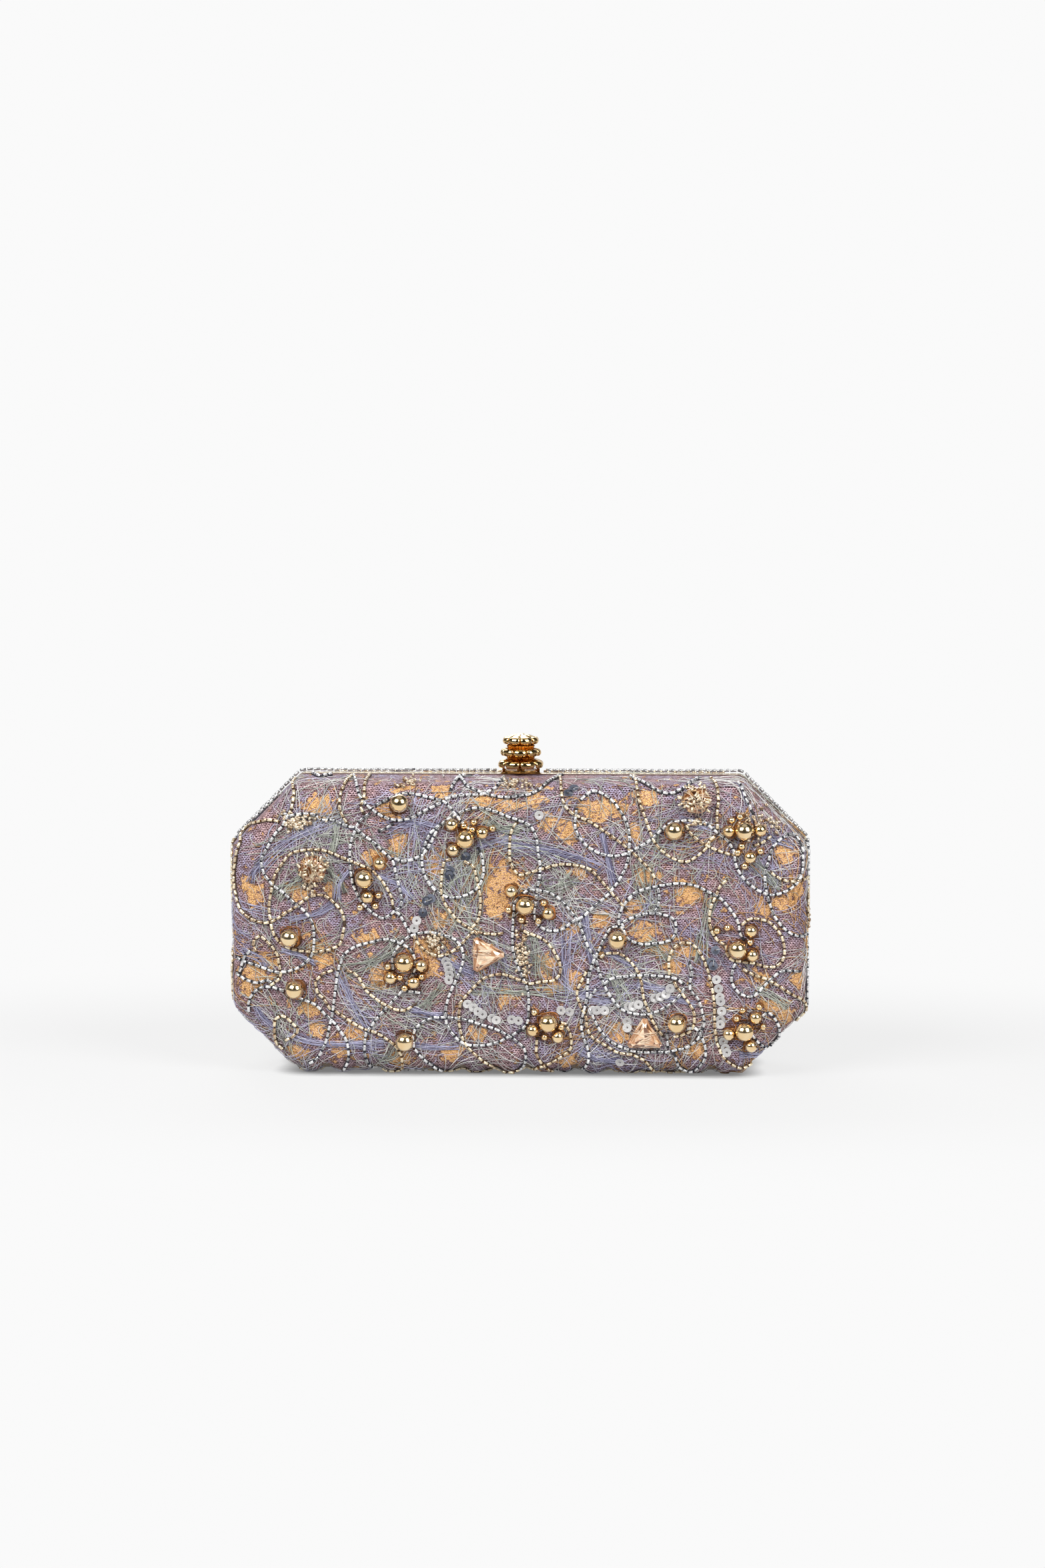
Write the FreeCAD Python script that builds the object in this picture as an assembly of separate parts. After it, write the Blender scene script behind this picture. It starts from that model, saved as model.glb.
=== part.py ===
"""Box evening bag: two padded trays in gold-tone rims, hinged along the bottom, with a petal knob clasp on top.

Millimetres. X runs along the bag, -Y is its front, +Z is up. The origin is on the floor, under the middle.
"""
import FreeCAD, Part
import math
import os

from FreeCAD import Vector

os.makedirs("parts", exist_ok=True)

# Driving dimensions of the outline, seen from the front.
HALF_WIDTH = 93.75        # rim, from the middle to its side
RIM_LOW = 1.6             # underside of the rims
RIM_TOP = 98.0            # top of the rims
CHAMFER = 21.25           # leg of each cut corner
CORNER_RADIUS = 2.5       # rounding where a cut corner meets a side

# The padded trays.
WALL_BULGE = 0.45         # how far the side walls stand out past the rim
TOP_SLOPE = 1.4           # how far the top wall drops from the rim to its rounded edge
WALL_START = 5.5          # where the wall has cleared the rim and reached its full bulge
FLOOR_TRIM = 0.03         # sliver that is cut off so that the bag stands on true flats
WALL_END = 14.0           # where the straight wall turns into the rounded edge
EDGE_DEPTH = 8.5          # rounded edge, along Y
EDGE_RADIUS = 9.0         # rounded edge, across the wall
CROWN_STEPS = [(23.1, 17.0), (23.5, 28.0)]   # height of the crowned face, and how far inside the outline
EDGE_ANGLES = [30, 60, 90]

# Layers of a tray, as depths below its outer surface, each with the place where it begins.
COVER = (0.0, 0.6, 2.5)
PADDING = (0.68, 1.42, 2.5)
SHELL = (1.5, 2.4, 1.2)
LINING = (2.45, 3.05, 5.1)

# Rim channel.
RIM_GAP = 0.15            # half of the parting line between the two rims
RIM_WEB = 1.0             # thickness of the channel's web
RIM_LIP = 0.9             # thickness of the outer lip
LIP_END = 2.4             # where the outer lip ends
INNER_LIP_START = 2.45
RIM_DEPTH = 3.15          # from the outside of the rim to the inside of its inner lip
INNER_LIP_END = 5.0

# Bottom hinges.
HINGE_X = 48.0
HINGE_LENGTH = 20.0
KNUCKLES = 5
KNUCKLE_GAP = 0.15
KNUCKLE_RADIUS = 1.2
PIN_RADIUS = 0.6
PIN_FIT = 0.05
HINGE_CLEARANCE = 0.25
LEAF_THICKNESS = 0.6
LEAF_START = 1.5
LEAF_END = 2.35

# Clasp.
PIVOT_Y = 1.5
PIVOT_Z = RIM_TOP + 0.85
PIVOT_PIN_RADIUS = 0.35
KNOB_Y = -0.8
NOTCH_HALF = 6.8
HOOK_NOTCH_HALF = 4.2
CORE_RADIUS = 3.5
CORE_FIT = 0.05
PETALS = 8

# Gold beads on a face: diameter, thread hole, and places as (x, z).
LARGE_BEAD = (6.0, 1.2)
LARGE_PLACES = [
    (-38.5, 89.5), (-50, 65.5), (-74.5, 46), (-73, 29), (-37, 38), (-37, 12), (-17, 78.5), (2.5, 57),
    (51, 81.5), (73.5, 81.5), (32.5, 46), (71.5, 43), (10, 18.5), (52, 18.5), (74, 16),
]
MEDIUM_BEAD = (4.0, 1.0)
MEDIUM_PLACES = [
    (-45, 70.5), (-49, 59.5), (-21.5, 83.2), (-11.5, 80.5), (-21, 75), (-2, 61.7), (-31.5, 37), (-41.5, 33),
    (-34, 31.5), (68.5, 81.5), (78.5, 81.5), (75.5, 73), (10, 54.5), (76, 49), (76.5, 41), (5, 16),
    (13.2, 13.8), (77.6, 20.5), (69, 15), (76, 11.2),
]
SMALL_BEAD = (2.25, 0.6)
SMALL_PLACES = [
    (-45.5, 60), (-46.5, 56.5), (-51.5, 56), (-17.5, 82.7), (-14.2, 84), (-14.8, 81.6), (-8.2, 82), (-3, 55.5),
    (1.2, 52.2), (-42.5, 36.5), (-38.5, 33), (-31.5, 33.3), (-37, 29.5), (72, 86), (69.5, 85), (72.8, 76.6),
    (71.5, 74.5), (73.8, 70.2), (78.8, 75), (8.5, 57.8), (6.8, 52), (65, 49), (68.3, 50), (75.7, 45.2),
    (5.5, 21.7), (14.2, 16.9), (8.8, 13.6), (73.5, 22.9), (78.8, 24), (71.5, 20), (80, 17.5),
]
BEAD_GAP = 0.06           # between a bead and the cloth

# Crystals: place, size from middle to corner, corners and the direction of the first corner in degrees.
CRYSTALS = [
    (-67, 68.5, 5.0, 6, 15),
    (-10.7, 40.8, 6.7, 3, 0),
    (58, 91, 5.0, 6, 0),
    (41.5, 14, 6.6, 3, 90),
]
CRYSTAL_HEIGHT = 3.4
CRYSTAL_TABLE = 0.5       # the flat top's size as a share of the base


# ---------------------------------------------------------------- helpers

def save(shape, name):
    """Writes one named node."""
    shape.exportStep("parts/" + name + ".step")


def box(x0, x1, y0, y1, z0, z1):
    """A box between two corners."""
    return Part.makeBox(x1 - x0, y1 - y0, z1 - z0, Vector(x0, y0, z0))


def rod_x(radius, x0, x1, y, z):
    """A round rod along X."""
    return Part.makeCylinder(radius, x1 - x0, Vector(x0, y, z), Vector(1, 0, 0))


def rod_z(radius, z0, z1, x=0.0, y=0.0):
    """A round rod along Z."""
    return Part.makeCylinder(radius, z1 - z0, Vector(x, y, z0), Vector(0, 0, 1))


def turned(profile, y):
    """A solid of revolution about the vertical line at y, from (radius, z) points."""
    points = [Vector(radius, y, z) for radius, z in profile]
    face = Part.Face(Part.makePolygon(points + points[:1]))
    return face.revolve(Vector(0, y, 0), Vector(0, 0, 1), 360)


def octagon(y, half_width, low, high, leg, radius=CORNER_RADIUS):
    """The rounded octagon outline in the plane at y."""
    corners = [
        (half_width, low + leg), (half_width, high - leg), (half_width - leg, high), (leg - half_width, high),
        (-half_width, high - leg), (-half_width, low + leg), (leg - half_width, low), (half_width - leg, low),
    ]
    corners = [Vector(x, y, z) for x, z in corners]
    half_turn = math.radians(22.5)
    setback = radius * math.tan(half_turn)
    sag = radius / math.cos(half_turn) - radius
    arcs = []
    for before, corner, after in zip(corners[-1:] + corners[:-1], corners, corners[1:] + corners[:1]):
        back = (before - corner).normalize()
        onward = (after - corner).normalize()
        inward = (back + onward).normalize()
        arcs.append((corner + back * setback, corner + inward * sag, corner + onward * setback))
    edges = []
    for arc, following in zip(arcs, arcs[1:] + arcs[:1]):
        edges.append(Part.Arc(*arc).toShape())
        edges.append(Part.LineSegment(arc[2], following[0]).toShape())
    return Part.Wire(edges)


def wall_values(depth):
    """How far the outline moves out at the sides and top, and its low edge, along the straight wall."""
    start = COVER[2]
    share = min(1.0, max(0.0, depth - start) / (WALL_START - start))
    slope = TOP_SLOPE * max(0.0, depth - WALL_START) / (WALL_END - WALL_START)
    return WALL_BULGE * share, -slope, RIM_LOW * (1 - share) - FLOOR_TRIM * share


def tray_sections(inset, start):
    """Sections (depth, side, top, low) of a tray surface that lies inset below the outer surface."""
    depths = [start] + [depth for depth in (COVER[2], WALL_START, WALL_END) if depth > start]
    sections = []
    for depth in depths:
        side, top, low = wall_values(depth)
        sections.append((depth, side - inset, top - inset, low + inset))
    side, top, low = wall_values(WALL_END)
    for angle in EDGE_ANGLES:
        turn = math.radians(angle)
        drop = inset + (EDGE_RADIUS - inset) * (1 - math.cos(turn))
        depth = WALL_END + (EDGE_DEPTH - inset) * math.sin(turn)
        sections.append((depth, side - drop, top - drop, low + drop))
    for height, inside in CROWN_STEPS:
        sections.append((height - inset, side - inside, top - inside, low + inside))
    return sections


def section_size(section):
    """Half width, low, high and chamfer leg of a tray section."""
    depth, side, top, low = section
    leg = CHAMFER + (2 - math.sqrt(2)) * (side + top) / 2
    return HALF_WIDTH + side, low, RIM_TOP + top, leg


def tray_solid(sections, hand):
    """The filled shape through tray sections; hand is -1 for the front and +1 for the rear."""
    wires = []
    for section in sections:
        radius = CORNER_RADIUS + 0.25 * max(0.0, section[0] - WALL_END)
        wires.append(octagon(hand * section[0], *section_size(section), radius))
    return Part.makeLoft(wires, True, True)


def layer(spec, hand):
    """One open layer of a tray."""
    outside, inside, start = spec
    core = tray_sections(inside, start)
    first = core[0]
    core[0] = (first[0] - 1.0,) + first[1:]
    return tray_solid(tray_sections(outside, start), hand).cut(tray_solid(core, hand))


def margin(section, x, z):
    """How far the point (x, z) is inside a tray section; negative outside it."""
    half_width, low, high, leg = section_size(section)
    side = half_width - abs(x)
    edge = min(z - low, high - z)
    return min(side, edge, (side + edge - leg) / math.sqrt(2))


def cloth_depth(x, z):
    """Distance of the cover's outer surface from the parting plane at (x, z)."""
    sections = tray_sections(0.0, COVER[2])
    for section, following in zip(sections, sections[1:]):
        here = margin(section, x, z)
        there = margin(following, x, z)
        if there < 0 <= here:
            return section[0] + (following[0] - section[0]) * here / (here - there)
    return sections[-1][0]


def on_cloth(x, z, lift):
    """A point lifted off the cover at (x, z), as (x, depth, z), and the outward normal there."""
    step = 0.5
    slope_x = (cloth_depth(x + step, z) - cloth_depth(x - step, z)) / (2 * step)
    slope_z = (cloth_depth(x, z + step) - cloth_depth(x, z - step)) / (2 * step)
    normal = Vector(-slope_x, 1, -slope_z).normalize()
    return Vector(x, cloth_depth(x, z), z) + normal * lift, normal


def placed(places, hand):
    """The places on one face; the rear face has the front's layout turned upside down."""
    if hand < 0:
        return places
    return [(place[0], RIM_TOP - place[1]) + tuple(place[2:]) for place in places]


# ---------------------------------------------------------------- trays and rims

def rim(hand):
    """One U-section rim, open towards its tray, with the hinge hollows cut."""
    def ring(outer, inner, y0, y1):
        shapes = []
        for inset in (outer, inner):
            leg = CHAMFER - (2 - math.sqrt(2)) * inset
            wire = octagon(hand * y0, HALF_WIDTH - inset, RIM_LOW + inset, RIM_TOP - inset, leg)
            shapes.append(Part.Face(wire).extrude(Vector(0, hand * (y1 - y0), 0)))
        return shapes[0].cut(shapes[1])

    web_end = RIM_GAP + RIM_WEB
    body = ring(0.0, RIM_DEPTH, RIM_GAP, web_end)
    body = body.fuse(ring(0.0, RIM_LIP, web_end, LIP_END))
    body = body.fuse(ring(INNER_LIP_START, RIM_DEPTH, web_end, INNER_LIP_END)).removeSplitter()
    hollow = KNUCKLE_RADIUS + HINGE_CLEARANCE
    reach = HINGE_LENGTH / 2 + HINGE_CLEARANCE
    for x in (-HINGE_X, HINGE_X):
        body = body.cut(rod_x(hollow, x - reach, x + reach, 0, RIM_LOW))
    return body


def clasp_notch():
    """The space in the front rim and shell for the clasp's plate and hook."""
    plate = box(-NOTCH_HALF, NOTCH_HALF, -2.45, 0.0, RIM_TOP - 0.75, RIM_TOP + 1)
    hook = box(-HOOK_NOTCH_HALF, HOOK_NOTCH_HALF, -2.45, 0.0, RIM_TOP - RIM_DEPTH - 0.1, RIM_TOP + 1)
    return plate.fuse(hook)


def build_trays():
    """Rims and the four layers of both trays."""
    rivet_hole = rod_z(0.75, RIM_TOP - 4.0, RIM_TOP - INNER_LIP_START + 0.01, 0, -3.75)
    front_rim = rim(-1).cut(clasp_notch()).cut(rivet_hole)
    save(front_rim, "front_rim")
    save(rim(1), "rear_rim")
    for name, hand in (("front", -1), ("rear", 1)):
        shell = layer(SHELL, hand)
        if hand < 0:
            shell = shell.cut(clasp_notch())
        save(shell, name + "_shell")
        save(layer(PADDING, hand), name + "_padding")
        floor = box(-HALF_WIDTH, HALF_WIDTH, -30, 30, -1, 0)
        save(layer(COVER, hand).cut(floor), name + "_cover")
        save(layer(LINING, hand), name + "_lining")


def build_pocket():
    """Slip pocket on the rear lining: a panel on three narrow seams, open at the top."""
    panel = box(-42, 42, 17.6, 18.2, 22, 66)
    seams = [box(-42, -40.5, 18.2, 19.3, 22, 66), box(40.5, 42, 18.2, 19.3, 22, 66)]
    seams.append(box(-42, 42, 18.2, 19.3, 22, 23.5))
    save(panel.multiFuse(seams).removeSplitter(), "rear_slip_pocket")


# ---------------------------------------------------------------- hinges

def hinge_leaf(x, hand):
    """One leaf with its knuckles: the rear leaf has the odd ones, the front leaf the even ones."""
    start = x - HINGE_LENGTH / 2
    pitch = HINGE_LENGTH / KNUCKLES
    y0, y1 = sorted((hand * LEAF_START, hand * LEAF_END))
    leaf = box(start, start + HINGE_LENGTH, y0, y1, RIM_LOW - LEAF_THICKNESS, RIM_LOW)
    for number in range(0 if hand > 0 else 1, KNUCKLES, 2):
        x0 = start + number * pitch + KNUCKLE_GAP / 2
        x1 = x0 + pitch - KNUCKLE_GAP
        y0, y1 = sorted((hand * 0.8, hand * LEAF_START))
        leaf = leaf.fuse(rod_x(KNUCKLE_RADIUS, x0, x1, 0, RIM_LOW))
        leaf = leaf.fuse(box(x0, x1, y0, y1, RIM_LOW - LEAF_THICKNESS, RIM_LOW))
    bore = rod_x(PIN_RADIUS + PIN_FIT, start - 1, start + HINGE_LENGTH + 1, 0, RIM_LOW)
    return leaf.cut(bore).removeSplitter()


def build_hinges():
    """Both hinges with their pins."""
    for name, x in (("left", -HINGE_X), ("right", HINGE_X)):
        save(hinge_leaf(x, 1), "rear_hinge_leaf_" + name)
        save(hinge_leaf(x, -1), "front_hinge_leaf_" + name)
        half = HINGE_LENGTH / 2 - 0.1
        save(rod_x(PIN_RADIUS, x - half, x + half, 0, RIM_LOW), "hinge_pin_" + name)


# ---------------------------------------------------------------- clasp

def build_saddle():
    """The saddle on the rear rim, its pivot pin and the return spring."""
    saddle = box(-6.2, 6.2, RIM_GAP, LIP_END, RIM_TOP, RIM_TOP + 0.2)
    for x0 in (-6.2, 5.2):
        saddle = saddle.fuse(box(x0, x0 + 1.0, 0.95, 2.05, RIM_TOP, PIVOT_Z))
        saddle = saddle.fuse(rod_x(0.6, x0, x0 + 1.0, PIVOT_Y, PIVOT_Z))
    hole = rod_x(PIVOT_PIN_RADIUS + 0.02, -7, 7, PIVOT_Y, PIVOT_Z)
    save(saddle.cut(hole).removeSplitter(), "clasp_saddle")
    save(rod_x(PIVOT_PIN_RADIUS, -6.2, 6.2, PIVOT_Y, PIVOT_Z), "clasp_pivot_pin")
    coil = rod_x(0.6, -1.3, 1.3, PIVOT_Y, PIVOT_Z)
    coil = coil.fuse(box(-1.3, -1.0, 0.1, PIVOT_Y, PIVOT_Z + 0.4, PIVOT_Z + 0.6))
    coil = coil.fuse(box(1.0, 1.3, PIVOT_Y, 2.3, PIVOT_Z - 0.6, PIVOT_Z - 0.42))
    coil = coil.cut(rod_x(PIVOT_PIN_RADIUS + 0.1, -2, 2, PIVOT_Y, PIVOT_Z))
    save(coil.removeSplitter(), "clasp_spring")


def build_lever():
    """The lever: plate, hook with its barb, barrel on the pivot pin, round flange and the knob's stud."""
    top = RIM_TOP
    plate = box(-6.4, 6.4, -2.1, 0.05, top - 0.55, top + 0.5)
    arm = box(-5.0, 5.0, -2.1, PIVOT_Y, top + 0.45, top + 1.0)
    barrel = rod_x(0.55, -5.0, 5.0, PIVOT_Y, PIVOT_Z)
    flange = rod_z(4.9, top + 0.75, top + 1.2, 0, KNOB_Y)
    stud = rod_z(1.3, top + 1.2, top + 3.2, 0, KNOB_Y)
    blade = box(-3.4, 3.4, -1.3, -0.75, top - 1.9, top)
    barb = box(-1.8, 1.8, -0.8, -0.2, top - 1.9, top - 1.5)
    lever = plate.multiFuse([arm, barrel, flange, stud, blade, barb])
    lever = lever.cut(rod_x(PIVOT_PIN_RADIUS + 0.05, -7, 7, PIVOT_Y, PIVOT_Z))
    lever = lever.cut(box(-1.6, 1.6, 0.6, 6, top, top + 1.9))
    save(lever.removeSplitter(), "clasp_lever")


def build_catch():
    """The leaf spring inside the front rim, with a window for the barb, and its rivet."""
    top = RIM_TOP
    under = top - RIM_DEPTH
    foot = box(-3.4, 3.4, -4.6, -0.25, under - 0.3, under)
    upright = box(-3.4, 3.4, -0.5, -0.25, under - 0.3, top - 0.75)
    window = box(-2.1, 2.1, -1, 0, top - 2.05, top - 1.35)
    hole = rod_z(0.75, under - 1, under + 0.01, 0, -3.75)
    save(foot.fuse(upright).cut(window).cut(hole).removeSplitter(), "catch_spring")
    head = rod_z(1.2, under - 0.75, under - 0.3, 0, -3.75)
    shank = rod_z(0.7, under - 0.75, top - INNER_LIP_START, 0, -3.75)
    save(head.fuse(shank).removeSplitter(), "catch_rivet")


def scalloped(radius, bottom, height, turn):
    """The upright scalloped column that trims a petal tier."""
    cut_radius = radius * math.cos(math.pi / PETALS) * 0.97
    edges = []
    for petal in range(PETALS):
        middle = turn + petal * 360 / PETALS
        points = []
        for angle, reach in ((-180 / PETALS, cut_radius), (0, radius), (180 / PETALS, cut_radius)):
            around = math.radians(middle + angle)
            points.append(Vector(reach * math.cos(around), KNOB_Y + reach * math.sin(around), bottom))
        edges.append(Part.Arc(*points).toShape())
    return Part.Face(Part.Wire(edges)).extrude(Vector(0, 0, height))


def petal_tier(radius, bottom, height, bore, turn):
    """A hooked petal tier around the knob's core."""
    profile = [
        (bore, bottom + 0.62 * height), (radius - 1.9, bottom + 0.5 * height), (radius - 1.5, bottom),
        (radius - 0.4, bottom), (radius, bottom + 0.8), (radius - 0.9, bottom + 0.55 * height),
        (0.45 * radius + 0.9, bottom + 0.95 * height), (bore, bottom + height),
    ]
    return turned(profile, KNOB_Y).common(scalloped(radius, bottom - 1, height + 2, turn))


def build_knob():
    """Core, three petal tiers and finial, all carried by the lever."""
    bottom = RIM_TOP + 1.9
    top = RIM_TOP + 11.2
    bore = CORE_RADIUS + CORE_FIT
    core = rod_z(CORE_RADIUS, bottom, top, 0, KNOB_Y)
    core = core.cut(rod_z(1.35, bottom - 1, RIM_TOP + 3.3, 0, KNOB_Y))
    core = core.cut(rod_z(1.05, top - 3, top + 1, 0, KNOB_Y))
    save(core, "knob_core")
    save(petal_tier(7.7, RIM_TOP + 1.9, 3.3, bore, 22.5), "knob_lower_tier")
    save(petal_tier(6.8, RIM_TOP + 5.85, 3.1, bore, 0), "knob_middle_tier")
    save(petal_tier(6.1, RIM_TOP + 9.8, 2.8, 1.1, 22.5), "knob_top_tier")
    head = turned([(0, 110.6), (1.8, 110.6), (1.5, 111.0), (0.8, 111.25), (0, 111.3)], KNOB_Y)
    shank = rod_z(1.0, top - 2.5, 110.8, 0, KNOB_Y)
    save(head.fuse(shank).removeSplitter(), "knob_finial")


# ---------------------------------------------------------------- sewn-on stones and beads

def bead(x, z, diameter, hole, hand):
    """A round bead on the cloth, with its thread hole along the cloth."""
    middle, normal = on_cloth(x, z, diameter / 2 + BEAD_GAP)
    along = normal.cross(Vector(0, 0, 1)).normalize()
    ball = Part.makeSphere(diameter / 2, middle, along)
    bore = Part.makeCylinder(hole / 2, diameter + 1, middle - along * (diameter / 2 + 0.5), along)
    solid = ball.cut(bore)
    if hand < 0:
        solid = solid.mirror(Vector(0, 0, 0), Vector(0, 1, 0))
    return solid


def crystal(x, z, size, corners, turn, hand):
    """A faceted stone with a flat table, lying on the cloth."""
    middle, normal = on_cloth(x, z, 0.5)
    across = normal.cross(Vector(0, 0, 1)).normalize()
    upward = across.cross(normal)
    rings = []
    for share, lift in ((0.86, 0.0), (1.0, 1.2), (CRYSTAL_TABLE, CRYSTAL_HEIGHT)):
        points = []
        for corner in range(corners):
            around = math.radians(turn + corner * 360 / corners)
            spread = across * math.cos(around) + upward * math.sin(around)
            points.append(middle + spread * size * share + normal * lift)
        rings.append(Part.makePolygon(points + points[:1]))
    solid = Part.makeLoft(rings, True, True)
    if hand < 0:
        solid = solid.mirror(Vector(0, 0, 0), Vector(0, 1, 0))
    return solid


def build_stones():
    """The bead and crystal groups of both faces."""
    groups = [("large", LARGE_BEAD, LARGE_PLACES), ("medium", MEDIUM_BEAD, MEDIUM_PLACES)]
    groups.append(("small", SMALL_BEAD, SMALL_PLACES))
    for face, hand in (("front", -1), ("rear", 1)):
        for size, spec, places in groups:
            beads = [bead(x, z, spec[0], spec[1], hand) for x, z in placed(places, hand)]
            save(Part.Compound(beads), face + "_gold_beads_" + size)
        stones = [crystal(*place, hand) for place in placed(CRYSTALS, hand)]
        save(Part.Compound(stones), face + "_crystals")


build_trays()
build_pocket()
build_hinges()
build_saddle()
build_lever()
build_catch()
build_knob()
build_stones()
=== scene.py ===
"""The looks of a beaded box evening bag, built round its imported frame.

Lengths in this script are millimetres in the frame's axes: X along the bag, -Y its front, +Z up. Meshes turn
into metres when they are made. Both halves are shaped as the front one, with hand -1 for the front and 1 for
the rear, whose layout is upside down. The rear's verts are then mirrored in Y.
"""
import math
import random

import bmesh
import bpy
import numpy as np
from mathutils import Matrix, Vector, noise
from mathutils.bvhtree import BVHTree


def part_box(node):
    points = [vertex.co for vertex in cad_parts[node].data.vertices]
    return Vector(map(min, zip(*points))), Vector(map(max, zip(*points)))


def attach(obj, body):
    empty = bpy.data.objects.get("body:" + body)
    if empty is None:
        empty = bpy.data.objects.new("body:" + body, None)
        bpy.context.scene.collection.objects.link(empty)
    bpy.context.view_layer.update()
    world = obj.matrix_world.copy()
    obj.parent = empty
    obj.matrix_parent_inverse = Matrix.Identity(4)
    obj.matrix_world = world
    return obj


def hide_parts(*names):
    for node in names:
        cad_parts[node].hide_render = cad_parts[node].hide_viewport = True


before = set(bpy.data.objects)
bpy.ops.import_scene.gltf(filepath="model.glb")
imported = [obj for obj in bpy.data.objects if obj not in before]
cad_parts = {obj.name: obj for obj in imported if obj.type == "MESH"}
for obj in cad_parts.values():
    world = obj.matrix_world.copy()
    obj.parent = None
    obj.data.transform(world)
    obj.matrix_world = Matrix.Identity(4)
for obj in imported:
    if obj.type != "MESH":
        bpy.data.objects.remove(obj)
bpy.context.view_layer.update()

MM = 0.001


def node_box(name):
    """A CAD node's lowest and highest corners, in millimetres."""
    low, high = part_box(name)
    return np.array(low) / MM, np.array(high) / MM


RIM_BOX = node_box("front_rim")
HALF_WIDTH = RIM_BOX[1][0]
RIM_LOW = RIM_BOX[0][2]
RIM_TOP = RIM_BOX[1][2]
FACE_DEPTH = -node_box("front_cover")[0][1]

# The padded trays: their outline, and the wall, rounded edge and crown in front of the rim.
CHAMFER = 21.25
CORNER_RADIUS = 2.5
WALL_BULGE = 0.45
CLOTH_START = 2.6         # depth from the parting plane at which the cloth leaves the rim
WALL_END = 14.0           # depth at which the walls turn over into the rounded edge
EDGE_DEPTH = 8.5          # how much depth the rounded edge takes
EDGE_RADIUS = 9.0         # how far inside the outline it ends
CROWN_INSIDE = 28.0       # how far inside the outline the face has risen to its crown
TOP_DROP = 0.3            # how far below the rim's top the top wall starts
TOP_FALL = 0.105          # how far the top wall falls for each millimetre of depth
BOTTOM_LIFT = 1.0         # how far the bottom wall stands off the table
FLOOR_GAP = 0.03          # trim under the bag is pressed into the padding, just clear of the table
MOUTH_MIDDLE = np.array([0.0, -CLOTH_START, (RIM_LOW + RIM_TOP) / 2])
TRAY_CORE = (60.0, -6.0, 49.0)    # the line inside the tray that normals point away from: half length, y, z

# The lower edge of the cloth sags unevenly.
SAG_HEIGHT = 9.0          # below this height
SAG_START = 5.0           # from this depth
SAG_GROWTH = 7.0          # and in full this much deeper
SAG_WAVE, SAG_SWAY = 5.5, 3.4
SAG_REACH, SAG_RISE = 0.9, 0.25

# Where no trim may lie: the strip along the hinges, and round the clasp.
HINGE_TOP, HINGE_FRONT = 6.0, -5.2
CLASP_BOTTOM, CLASP_FRONT, CLASP_HALF = RIM_TOP - 2.5, -9.0, 7.8

# Foil: a spot's core is this share of its width and height, and its edge fades out a little beyond.
FOIL_CORE, FOIL_SHARE, FOIL_FRINGE = 0.6, 0.62, 0.6
FOIL_FADE = 5.0           # foil thins out over this depth where the face turns into the wall
NET_TURN = 3.5            # the net runs round the wall as far as this past the wall's end

# The view: from the front, a little above and to the right.
VIEW_ELEVATION = 7.5
VIEW_AZIMUTH = 2.5
VIEW_DISTANCE = 1295.0
VIEW_AIM = (0.0, -8.0, 49.0)
VIEW_LENS = 90.0
VIEW_SHIFT = (0.0017, 0.0887)
READING_PLANE = -24.0     # strand places are read where the line of sight crosses this plane

# Bugle beads and the small trim.
BUGLE_LENGTH = 1.92
BUGLE_RADIUS = 0.49
BUGLE_HOLE = 0.24
BUGLE_PITCH = 2.27
BUGLE_STRAY = 0.07        # how far a bugle's direction strays from its strand's
BUGLE_LIFT = 0.12         # how far it stands off the cloth at least
COUCHING_RADIUS = 0.54    # the dark thread that each strand is couched over; wider than a bugle, it also paints the shade along and between the bugles
RIM_ROW_LIFT = 0.5        # the row of bugles behind the rear rim stands on the folded edge of the cloth
# the dark tube that paints the shade in the gap between a rim and the cloth
RIM_GAP_PAINTED_SHADE_RADIUS = 0.34
SEQUIN_RADIUS = 1.5
SEQUIN_LAP = 2.6          # sequins closer than this lean on each other
STITCH_RADIUS = 0.06
THREAD_RADIUS = 0.115
FLOSS_RADIUS = 0.11

# Threads on each half.
SWEEPS = 150
SWEEP_THREADS = 13
CURLS = 700
SWEEP_STEP, CURL_STEP = 1.8, 0.6
THREAD_LIMIT = -4.2       # threads stay in front of this depth, clear of the rims
BUNDLE_STRANDS = 15

# Gold beads: radius, bore radius, sides and rings of each size, and the thread loops round it.
BEAD_SIZES = {
    "large": (3.0, 0.55, 44, 30, 16),
    "medium": (2.0, 0.45, 32, 22, 12),
    "small": (1.12, 0.28, 20, 14, 7),
}

PETALS = 8                # in each tier of the knob

# The stage.
PAPER = 0.955             # brightness of the plain surround
FLOOR_CATCH = 0.12        # how much light, and so how much shadow, the floor takes near the bag
FLOOR_GLOW = 0.735        # what brings the floor near the bag up to the surround
PAINTED_CONTACT_SHADOW_GLOW = 0.25       # the share of that glow that is left where the bag meets the floor, in the painted contact shadow
PAINTED_CONTACT_SHADOW_REACH = 7.0       # how far the painted contact shadow, a dark line where the bag meets the floor, spreads
FLOOR_FADE = (100.0, 240.0)       # the distances over which the floor fades into the surround
FLOOR_NEAR, FLOOR_FAR = -260.0, 8000.0
LAMPS = (                 # place, width and height, watts
    ("key_box", (-560, -640, 700), (700, 560), 13.4),
    ("fill_box", (620, -600, 560), (520, 640), 9.8),
    ("back_box", (-200, 700, 640), (600, 400), 4.0),
)

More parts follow.
